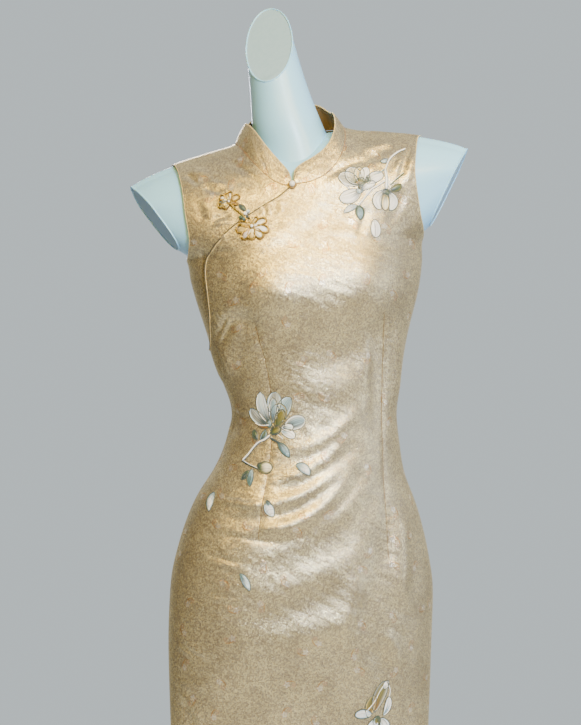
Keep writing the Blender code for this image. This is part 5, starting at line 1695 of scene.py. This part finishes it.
def build_button(gold_cord, nacre):
    """The pearl in its ring of twisted cord, over the foot of the collar's opening."""
    station = np.array(NECK_FRONT_STATION)
    u = turn_of(NECK_FRONT_X, station)
    outward = normal(u, station)
    centre = posed(body(u, station)) + outward * BUTTON_STAND
    across = np.array([1.0, 0.0, 0.0])
    across = unit(across - outward * (across @ outward))
    up = np.cross(outward, across)
    angles = np.linspace(0, 2 * math.pi, 160, endpoint=False)[:, None]
    out = np.cos(angles) * across + np.sin(angles) * up
    parts = []
    for phase in (0.0, math.pi):
        turn = 9 * angles + phase
        strand = 0.62 * MM * (np.cos(turn) * out + np.sin(turn) * outward)
        parts.append(tube(centre + RING_RADIUS * out + strand, 0.8 * MM, 8, closed=True))
    ring = make_mesh("button_cord_ring", joined(parts), gold_cord)
    stand = math.sqrt((PEARL_RADIUS + RING_CORD_RADIUS + SEAM_GAP) ** 2 - RING_RADIUS**2)
    profile = [(PEARL_RADIUS * math.sin(a), stand - PEARL_RADIUS * math.cos(a))
               for a in np.linspace(0, math.pi, 25)[1:-1]]
    profile = [(0, stand - PEARL_RADIUS), *profile, (0, stand + PEARL_RADIUS)]
    points, faces = turned(profile, 40)
    points = centre + np.array(points) @ np.array([across, up, outward])
    return ring, make_mesh("button_pearl_bead", (points, faces), nacre)


# Frog: centre of each flower and its petals, in millimetres and degrees as seen from the
# front: direction, length, width, and the dyes of the satin that fills the wire loop.
# Columns: angle, length, width, foot, tip.
FROG_UPPER = ((-95.0, 1326.0), (
    (150, 14.0, 7.5, "cream", "white"),
    (112, 11.5, 6.0, "brown", "champagne"),
    (84, 13.0, 6.0, "champagne", "cream"),
    (32, 15.0, 7.0, "brown", "champagne"),
    (184, 13.5, 7.0, "pale_blue", "grey_blue"),
    (206, 15.0, 6.0, "champagne", "champagne"),
    (-14, 11.0, 5.0, "champagne", "brown"),
    (236, 11.0, 5.0, "brown", "champagne"),
))
FROG_LOWER = ((-64.5, 1291.5), (
    (190, 20.0, 10.0, "brown", "champagne"),
    (232, 19.0, 9.0, "champagne", "blush"),
    (268, 16.0, 9.0, "cream", "champagne"),
    (312, 19.0, 9.5, "champagne", "cream"),
    (348, 21.0, 9.5, "champagne", "white"),
    (30, 20.0, 8.0, "white", "cream"),
    (66, 14.0, 6.0, "grey_blue", "champagne"),
    (118, 13.0, 6.0, "brown", "champagne"),
    (160, 17.0, 6.0, "brown", "champagne"),
))
FROG_STEM = ((-93.0, 1323.0), (-87.0, 1316.5), (-80.0, 1311.0), (-74.0, 1304.0), (-66.0, 1293.5))
FROG_KNOTS = (
    (-79.5, 1304.5, 2.6, "leaf"), (-73.5, 1309.5, 2.4, "white"), (-75.0, 1301.5, 2.2, "teal"),
    (-70.0, 1312.5, 2.4, "pale_blue"), (-70.5, 1304.5, 2.0, "slate"),
)
FROG_LEAF = (-82.5, 1321.5, -74.5, 1315.0, 5.0, 0.05, "slate", "leaf", "slate", "slant")
WIRE = 0.75 * MM


def coil(centre, radius, sweep, count):
    """Places round a circle, over a sweep that may be more than one turn."""
    turns = np.linspace(0, sweep, count)
    return np.array(centre) + radius * np.stack([np.cos(turns), np.sin(turns)], axis=-1)


def petal_loop(centre, angle, length, width, steps=44):
    """Places round a wire petal, and how far each is along it."""
    angle = math.radians(angle)
    run = np.array([math.cos(angle), math.sin(angle)])
    across = np.array([-run[1], run[0]])
    turn = np.linspace(0, 2 * math.pi, steps)
    t = (1 - np.cos(turn)) / 2
    off = np.sign(np.sin(turn)) * width / 2 * leaf_outline(t, 0.66, 0.95)
    return np.array(centre) + (t * length)[:, None] * run + off[:, None] * across, t


def build_frog(ground, gold, material):
    """The two flowers of gilt wire and satin, the twisted stem between them, a leaf and knots."""
    flowers = []
    fill = Stitchwork(ground, 41)
    for name, (centre, petals) in (("upper", FROG_UPPER), ("lower", FROG_LOWER)):
        parts = []
        for order, (angle, length, width, foot, tip) in enumerate(petals):
            places, t = petal_loop(centre, angle, length, width)
            lift = 1.0 + 2.4 * np.sin(math.pi * t * 0.62) + 0.35 * (order % 3)
            parts.append(tube(even_path(ground.lay(places, lift), 0.6 * MM), WIRE, 8))
            # A brown line round each petal, just outside its wire: painted shadow between the petals.
            around = np.array(centre) + (places - centre) * 1.06
            fill.line(around[::2], 0.75, dye("brown"), smooth_it=False)
            turn = math.radians(angle)
            tip_x = centre[0] + 0.95 * length * math.cos(turn)
            tip_z = centre[1] + 0.95 * length * math.sin(turn)
            fill.satin(*centre, tip_x, tip_z, width * 0.98, 0.0, foot, tip, tip, "long",
                       pad=2.9 + 0.35 * (order % 3), outlined=False)
        ring = coil(centre, 2.4, 2 * math.pi, 41)[:-1]
        parts.append(twisted(ground.lay(ring, 3.2), 0.5 * MM, 2.4 * MM, closed=True))
        flowers.append(make_mesh(f"frog_{name}_wire", joined(parts), gold))
    points = np.array(FROG_STEM)
    way = way_along(points)
    spots = np.linspace(0, way[-1], 90)
    path = ground.lay(at_lengths(points, way, spots, True), 2.6)
    shape = twisted(path, 0.95 * MM, 5.5 * MM, count=3)
    stem = make_mesh("frog_twisted_stem", shape, gold)
    fill.satin(*FROG_LEAF, pad=1.6)
    for x, z, radius, knot_dye in FROG_KNOTS:
        loop = coil((x, z), radius * 0.55, 4 * math.pi, 30)
        path = ground.lay(loop, np.linspace(1.6, 4.2, 30))
        fill.keep(*tube(even_path(path, 0.5 * MM), radius * 0.42 * MM, 8), dye(knot_dye))
    for (centre, _), radius in ((FROG_LOWER, 2.1), (FROG_UPPER, 1.5)):
        base, top = ground.lay(np.array([centre] * 2), np.array([3.4, 3.4 + radius]))
        rise = np.linspace(0.05, math.pi - 0.05, 12)
        path = base + (top - base) * (1 - np.cos(rise))[:, None]
        fill.keep(*tube(path, radius * MM * np.sin(rise), 16), dye("white"))
    return flowers[0], stem, flowers[1], fill.build("frog_satin", material)


# ---- The form and its stand ----

FORM_COLUMNS = 128
FORM_ROWS = 90
POLE_RADIUS = 0.014
SOCKET_RADIUS = POLE_RADIUS + SEAM_GAP
FORM_SOCKET_DEPTH = 0.060
BASE_RADIUS = 0.175
BASE_THICKNESS = 0.006
BOSS_RADIUS = 0.024
BOSS_TOP = 0.052
BOSS_FLOOR = 0.004
RIM_RADIUS = 1.1 * MM
FORM_SHARP_EDGE = math.radians(38)


def form_gap(u, station):
    """How far the form's skin lies inside the body's surface."""
    x, y, _ = np.moveaxis(body(u, station), -1, 0)
    seat = ramp(station, SEAT_START, SHOULDER_STATION - 0.010)
    gap = CLOTH / 2 + FORM_CLEARANCE + (FORM_SEAT - FORM_CLEARANCE) * seat
    reach_y = np.where(y < 0, NECK_SINK_FRONT, NECK_SINK_BACK)
    neck = np.hypot((x - NECK_CENTRE_X) / NECK_HALF_WIDTH, y / reach_y)
    inside = 1 - ramp(neck, *NECK_SINK_EDGE)
    return gap + NECK_SINK * inside * ramp(station, SHOULDER_START, NECK_SINK_START)


def form_rings():
    """Rings of the form's torso, foot to shoulder ridge."""
    low = np.linspace(FORM_FOOT, UNDERARM, FORM_ROWS)
    scoop = np.linspace(UNDERARM, SHOULDER_START, 16)[1:]
    over = np.linspace(SHOULDER_START, SHOULDER_STATION, 40)[1:]
    stations = np.concatenate([low, scoop, over])[:, None]
    turns = np.linspace(-math.pi, math.pi, FORM_COLUMNS + 1)[None, :-1]
    u, stations = np.broadcast_arrays(turns, stations)
    rings = posed(body(u, stations)) - normal(u, stations) * form_gap(u, stations)[..., None]
    # Front and back meet on the ridge: u and pi - u are one point there.
    partner = (FORM_COLUMNS // 2 - np.arange(FORM_COLUMNS)) % FORM_COLUMNS
    rings[-1] = (rings[-1] + rings[-1][partner]) / 2
    return rings


def neck_rings():
    """Rings of the form's neck, from inside the shoulders to above its slanted cut."""
    heights = np.linspace(1.350, 1.640, 60)[:, None]
    turn = np.linspace(0, 2 * math.pi, 97)[None, :-1]
    middle, half_width, half_depth = [
        np.interp(heights, *softened(NECK_SECTIONS, NECK_COLUMNS, "height", key))
        for key in NECK_COLUMNS[1:]
    ]
    x, y = middle + half_width * np.cos(turn), half_depth * np.sin(turn)
    return posed(np.stack(np.broadcast_arrays(x, y, heights), axis=-1))


def closed_tube(rings):
    """Vertices and faces of a closed tube through rings of points, flat at both ends."""
    rows, columns = rings.shape[:2]
    index = np.arange(rows * columns).reshape(rows, columns).tolist()
    faces = []
    for low, high in zip(index, index[1:]):
        for i in range(columns):
            k = (i + 1) % columns
            faces.append((low[i], low[k], high[k], high[i]))
    faces.append(tuple(reversed(index[0])))
    faces.append(tuple(index[-1]))
    return rings.reshape(-1, 3), faces


def reshaped(mesh, change):
    """Changes a mesh and turns all its faces outwards."""
    shape = bmesh.new()
    shape.from_mesh(mesh)
    change(shape)
    bmesh.ops.recalc_face_normals(shape, faces=shape.faces[:])
    shape.to_mesh(mesh)
    shape.free()


def cut_flat(mesh, point, outward):
    """Cuts off what lies beyond a plane and closes the mesh with a flat face."""
    def change(shape):
        everything = shape.verts[:] + shape.edges[:] + shape.faces[:]
        cut = bmesh.ops.bisect_plane(
            shape, geom=everything, plane_co=point, plane_no=outward, clear_outer=True
        )
        rim = [part for part in cut["geom_cut"] if isinstance(part, bmesh.types.BMEdge)]
        bmesh.ops.contextual_create(shape, geom=rim)
    reshaped(mesh, change)


def weld(mesh):
    """Merges points that coincide."""
    def change(shape):
        bmesh.ops.remove_doubles(shape, verts=shape.verts[:], dist=0.05 * MM)
        bmesh.ops.dissolve_degenerate(shape, edges=shape.edges[:], dist=0.05 * MM)
    reshaped(mesh, change)


def arm_plane(side):
    """A corner of one arm cut's plane, its upward and outward unit directions."""
    corners = np.array([ARM_CUT_FOOT, ARM_CUT_TOP, ARM_CUT_SIDE]) * np.array([side, 1, 1])
    foot, top, side_point = posed(corners)
    along = unit(top - foot)
    outward = np.cross(top - foot, side_point - foot)
    outward *= np.sign(outward[0]) * side / np.linalg.norm(outward)
    return foot, along, outward


def arm_cutter(name, side, material):
    """A block whose inner face is the flat cut at one shoulder, side being -1 or 1."""
    foot, along, outward = arm_plane(side)
    across = np.cross(outward, along)
    vertices = [
        foot + ARM_CUT_BLOCK * (along * up + across * (2 * back - 1) + outward * out)
        for up in (0, 1) for back in (0, 1) for out in (0, 1)
    ]
    faces = [(0, 1, 3, 2), (4, 6, 7, 5), (0, 4, 5, 1), (2, 3, 7, 6), (0, 2, 6, 4), (1, 5, 7, 3)]
    block = make_mesh(name, (vertices, faces), material, smooth_faces=False)
    weld(block.data)
    return block


def cut_with(obj, helpers):
    """Joins helper objects to an object, or takes them from it, for good."""
    for helper, operation in helpers:
        modifier = obj.modifiers.new(helper.name, "BOOLEAN")
        modifier.operation = operation
        modifier.solver = "EXACT"
        modifier.object = helper
    bpy.context.view_layer.update()
    result = bpy.data.meshes.new_from_object(obj.evaluated_get(bpy.context.evaluated_depsgraph_get()))
    obj.modifiers.clear()
    obj.data = result
    for helper, _ in helpers:
        bpy.data.objects.remove(helper)


def cut_faces(mesh, point, outward):
    """Indices of a mesh's faces that lie in a plane."""
    centres = np.array([face.center[:] for face in mesh.polygons])
    normals = np.array([face.normal[:] for face in mesh.polygons])
    outward = unit(np.asarray(outward))
    flat = (normals @ outward > 0.995) & (np.abs((centres - point) @ outward) < 0.3 * MM)
    return np.flatnonzero(flat)


def rim_of(mesh, faces):
    """The longest loop of edges round some faces of a mesh, as points in order."""
    seen = collections.Counter(key for k in faces for key in mesh.polygons[k].edge_keys)
    links = {}
    for a, b in (key for key, times in seen.items() if times == 1):
        links.setdefault(a, []).append(b)
        links.setdefault(b, []).append(a)
    loops = []
    while links:
        loop = [next(iter(links))]
        while True:
            ahead = [k for k in links[loop[-1]] if k not in loop]
            if not ahead:
                break
            loop.append(ahead[0])
        for k in loop:
            links.pop(k, None)
        loops.append(loop)
    return np.array([mesh.vertices[k].co[:] for k in max(loops, key=len)])


def build_form(shell_material, face_material):
    """The headless, armless form with its flat arm cuts and slanted neck, and light rims
    where the moulded skin ends at the cuts."""
    vertices, faces = closed_tube(form_rings())
    form = make_mesh("form_torso", (vertices, faces[:-1]), shell_material, face_material)
    weld(form.data)
    neck = make_mesh("neck", closed_tube(neck_rings()), shell_material)
    cut_flat(neck.data, NECK_CUT_POINT, NECK_CUT_NORMAL)
    low, high = FORM_FOOT - FORM_SOCKET_DEPTH, FORM_FOOT + FORM_SOCKET_DEPTH
    profile = [(0, low), (SOCKET_RADIUS, low), (SOCKET_RADIUS, high), (0, high)]
    cut_with(form, [
        (arm_cutter("cut_right", -1, face_material), "DIFFERENCE"),
        (arm_cutter("cut_left", 1, face_material), "DIFFERENCE"),
        (neck, "UNION"),
        (make_mesh("socket", turned(profile, 64), shell_material), "DIFFERENCE"),
    ])
    planes = [(NECK_CUT_POINT, np.array(NECK_CUT_NORMAL))]
    planes += [arm_plane(side)[::2] for side in (-1, 1)]
    mesh = form.data
    mesh.materials.clear()
    mesh.materials.append(shell_material)
    mesh.materials.append(face_material)
    mesh.polygons.foreach_set("material_index", np.zeros(len(mesh.polygons), dtype=np.int32))
    rims = []
    for point, outward in planes:
        faces = cut_faces(mesh, point, outward)
        for index in faces:
            mesh.polygons[index].material_index = 1
        rim = rim_of(mesh, faces)
        closed = np.concatenate([rim, rim[:1]])
        rims.append(tube(even_path(closed, 3 * MM)[:-1], RIM_RADIUS, 10, closed=True))
    mesh.shade_smooth()
    mesh.set_sharp_from_angle(angle=FORM_SHARP_EDGE)
    return form, make_mesh("form_cut_rims", joined(rims), shell_material)


def rounded_edge(radius, low, high, bevel, steps=4):
    """Points of a turned profile up a wall, with its edges rounded."""
    turns = np.linspace(0, math.pi / 2, steps + 1)
    foot = [(radius - bevel + bevel * math.sin(t), low + bevel - bevel * math.cos(t)) for t in turns]
    top = [(radius - bevel + bevel * math.cos(t), high - bevel + bevel * math.sin(t)) for t in turns]
    return foot + top


def build_stand(steel):
    """The pole in its socket and the round base plate with its boss."""
    top, foot = FORM_FOOT + FORM_SOCKET_DEPTH - SEAM_GAP, BOSS_FLOOR + SEAM_GAP
    profile = [(0, foot), *rounded_edge(POLE_RADIUS, foot, top, 1.0 * MM), (0, top)]
    pole = make_mesh("stand_pole", turned(profile, 96), steel)
    fillet = [
        (BOSS_RADIUS + 3 * MM * (1 - math.sin(t)), BASE_THICKNESS + 3 * MM * (1 - math.cos(t)))
        for t in np.linspace(0, math.pi / 2, 6)
    ]
    boss = rounded_edge(BOSS_RADIUS, BASE_THICKNESS, BOSS_TOP, 1.6 * MM)
    profile = [(0, 0), *rounded_edge(BASE_RADIUS, 0, BASE_THICKNESS, 1.8 * MM, 5), *fillet,
               *boss[len(boss) // 2:], (SOCKET_RADIUS + 0.6 * MM, BOSS_TOP),
               (SOCKET_RADIUS, BOSS_TOP - 0.6 * MM), (SOCKET_RADIUS, BOSS_FLOOR), (0, BOSS_FLOOR)]
    return pole, make_mesh("stand_base", turned(profile, 160), steel)


# ---- Stage, light and camera ----

CAMERA_PLACE = (-0.01507, -1.9, 1.116)
CAMERA_LENS = 69.0
FLOOR_RADIUS = 2.3


def build_stage():
    """A plain pale floor."""
    low, high = -0.020, -0.001
    profile = [(0, low), (FLOOR_RADIUS, low), (FLOOR_RADIUS, high), (0, high)]
    floor = make_mesh("studio_floor", turned(profile, 128), painted_floor())


def area_light(name, place, target, size, power, code):
    """A soft rectangular lamp that faces a target."""
    data = bpy.data.lights.new(name, "AREA")
    data.shape = "RECTANGLE"
    data.size, data.size_y = size
    data.energy = power
    data.color = colour(code)[:3]
    lamp = bpy.data.objects.new(name, data)
    lamp.location = place
    lamp.rotation_euler = (Vector(target) - Vector(place)).to_track_quat("-Z", "Y").to_euler()
    lamp.visible_camera = False
    bpy.context.scene.collection.objects.link(lamp)


def light_scene():
    """A cool key from the camera's right, a warm strip above, and a soft pale room that is dark
    and brown in its left corner and below."""
    area_light("key_window", (0.80, -2.50, 1.95), (0, 0, 1.15), (0.50, 0.60), 112, "#D4E2F8")
    area_light("side_window", (2.30, -0.55, 1.10), (0, 0, 1.00), (0.25, 1.60), 14, "#DCEBFF")
    area_light("ceiling_strip", (0.30, -1.75, 2.35), (0, -0.05, 1.25), (2.7, 0.30), 106, "#FFD650")
    area_light("back_window", (-0.35, 2.40, 1.90), (0, 0, 1.00), (0.80, 1.00), 56, "#EEF2FF")
    world = bpy.data.worlds.new("studio")
    world.use_nodes = True
    tree = world.node_tree
    node = functools.partial(add, tree)
    place = node("TexCoord")
    _, inwards, upwards = node("SeparateXYZ", place).node.outputs
    toward = node("VectorMath DOT_PRODUCT", place, (-0.90, -0.44, 0.0), out=1)
    glow = colour("#221D19")
    for share, code in (
        (node("MapRange", upwards, -0.34, 0.20, **SOFT), "#A8BDDC"),
        (node("MapRange", inwards, 0.1, 0.9, 0.0, 0.75, **SOFT), "#D0DAE6"),
        (node("MapRange", toward, 0.12, 0.75, **SOFT), "#1C150D"),
    ):
        glow = node("Mix", {0: share, 6: glow, 7: colour(code)}, **COLOURS)
    both = node("MixShader", node("LightPath"), node("Background", glow, 1.18),
                node("Background", colour("#C7D1D4"), 1.04))
    plug(tree.nodes["World Output"], [both])
    bpy.context.scene.world = world


def place_camera():
    """Upright portrait view from the front at chest height."""
    data = bpy.data.cameras.new("camera")
    data.sensor_fit = "VERTICAL"
    data.sensor_height = 36.0
    data.lens = CAMERA_LENS
    camera = bpy.data.objects.new("camera", data)
    camera.location = CAMERA_PLACE
    camera.rotation_euler = (math.pi / 2, 0, 0)
    bpy.context.scene.collection.objects.link(camera)
    bpy.context.scene.camera = camera


def build_dress(silk, inside):
    """The three panels and the collar, and the lines that the collar's edges follow."""
    materials = (silk, inside)
    grid = front_grid()
    front = build_panel("dress_front", grid, materials, FRONT_CREASES, DARTS_FRONT,
                        lift=opening_lift(grid), edge=front_edge)
    underlap = build_panel("dress_underlap", underlap_grid(), materials, UNDERLAP_CREASES,
                           edge=underlap_edge)
    back = build_panel("dress_back", back_grid(), materials, BACK_CREASES, DARTS_BACK,
                       middle=math.pi, shift=BACK_CLOTH)
    return front, underlap, back, *build_collar(materials)


def main():
    """Builds the fine pieces, the stage, the lights and the camera."""
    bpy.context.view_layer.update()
    silk = jacquard_silk("jacquard silk satin, woven blossoms")
    front, underlap, back, collar, *collar_lines = build_dress(silk, wrong_side_in_painted_shade())
    # The piping's thread is dark enough to stand also as painted shadow of the gap under the front's
    # edge.
    piping = spun_thread("olive silk piping, darkened as gap shade", "#4C4428", "#2E2716", 0.5)
    binding = spun_thread("silk bias binding", "#D8C48E", "#BFA566", 0.42, grain=500.0)
    seam_and_gap_shade_thread = spun_thread("brown seam cord, darkened as gap shade", "#94682E", "#6E4A1C", 0.6)
    gold_cord = spun_thread("gold silk cord, twisted", "#C09A50", "#7A5A22", 0.45)
    piping_and_gap_shade, light_edge = build_piping(piping, binding)
    bindings = build_bindings(binding)
    rolled_edge, collar_seam_and_gap_shade = build_collar_edges(*collar_lines, binding, seam_and_gap_shade_thread)
    ring, pearl = build_button(gold_cord, polished_pearl())
    threads = floss()
    ground = Ground(front, underlap)
    frog_upper, frog_stem, frog_lower, frog_satin = build_frog(ground, gilt_wire(), threads)
    sprays = [
        embroider("embroidery_shoulder", SHOULDER_SPRAY, STEMS["shoulder"], ground, 11, threads),
        embroider("embroidery_waist", WAIST_SPRAY, STEMS["waist"], ground, 12, threads),
        embroider("embroidery_knee", KNEE_SPRAY, STEMS["knee"], ground, 13, threads),
    ]
    form, rims = build_form(moulded_shell(), cut_face_plastic())
    pole, base = build_stand(brushed_steel())
    pieces = [front, underlap, back, collar, form, rims, pole, base, piping_and_gap_shade, light_edge, bindings,
              rolled_edge, collar_seam_and_gap_shade, ring, pearl, frog_upper, frog_stem, frog_lower, frog_satin]
    for obj in pieces + sprays:
        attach(obj, "root")
    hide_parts("front")
    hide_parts("front_underlap")
    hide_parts("back")
    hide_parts("collar")
    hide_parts("button_ring")
    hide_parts("button_pearl")
    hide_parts("frog_flower_upper")
    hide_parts("frog_stem")
    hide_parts("frog_flower_lower")
    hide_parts("form")
    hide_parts("pole")
    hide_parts("base")
    build_stage()
    light_scene()
    place_camera()


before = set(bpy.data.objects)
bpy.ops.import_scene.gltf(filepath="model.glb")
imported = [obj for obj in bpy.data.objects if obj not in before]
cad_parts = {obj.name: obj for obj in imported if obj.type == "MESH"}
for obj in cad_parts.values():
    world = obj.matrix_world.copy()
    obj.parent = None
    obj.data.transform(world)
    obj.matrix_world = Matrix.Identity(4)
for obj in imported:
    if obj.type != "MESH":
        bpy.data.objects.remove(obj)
main()
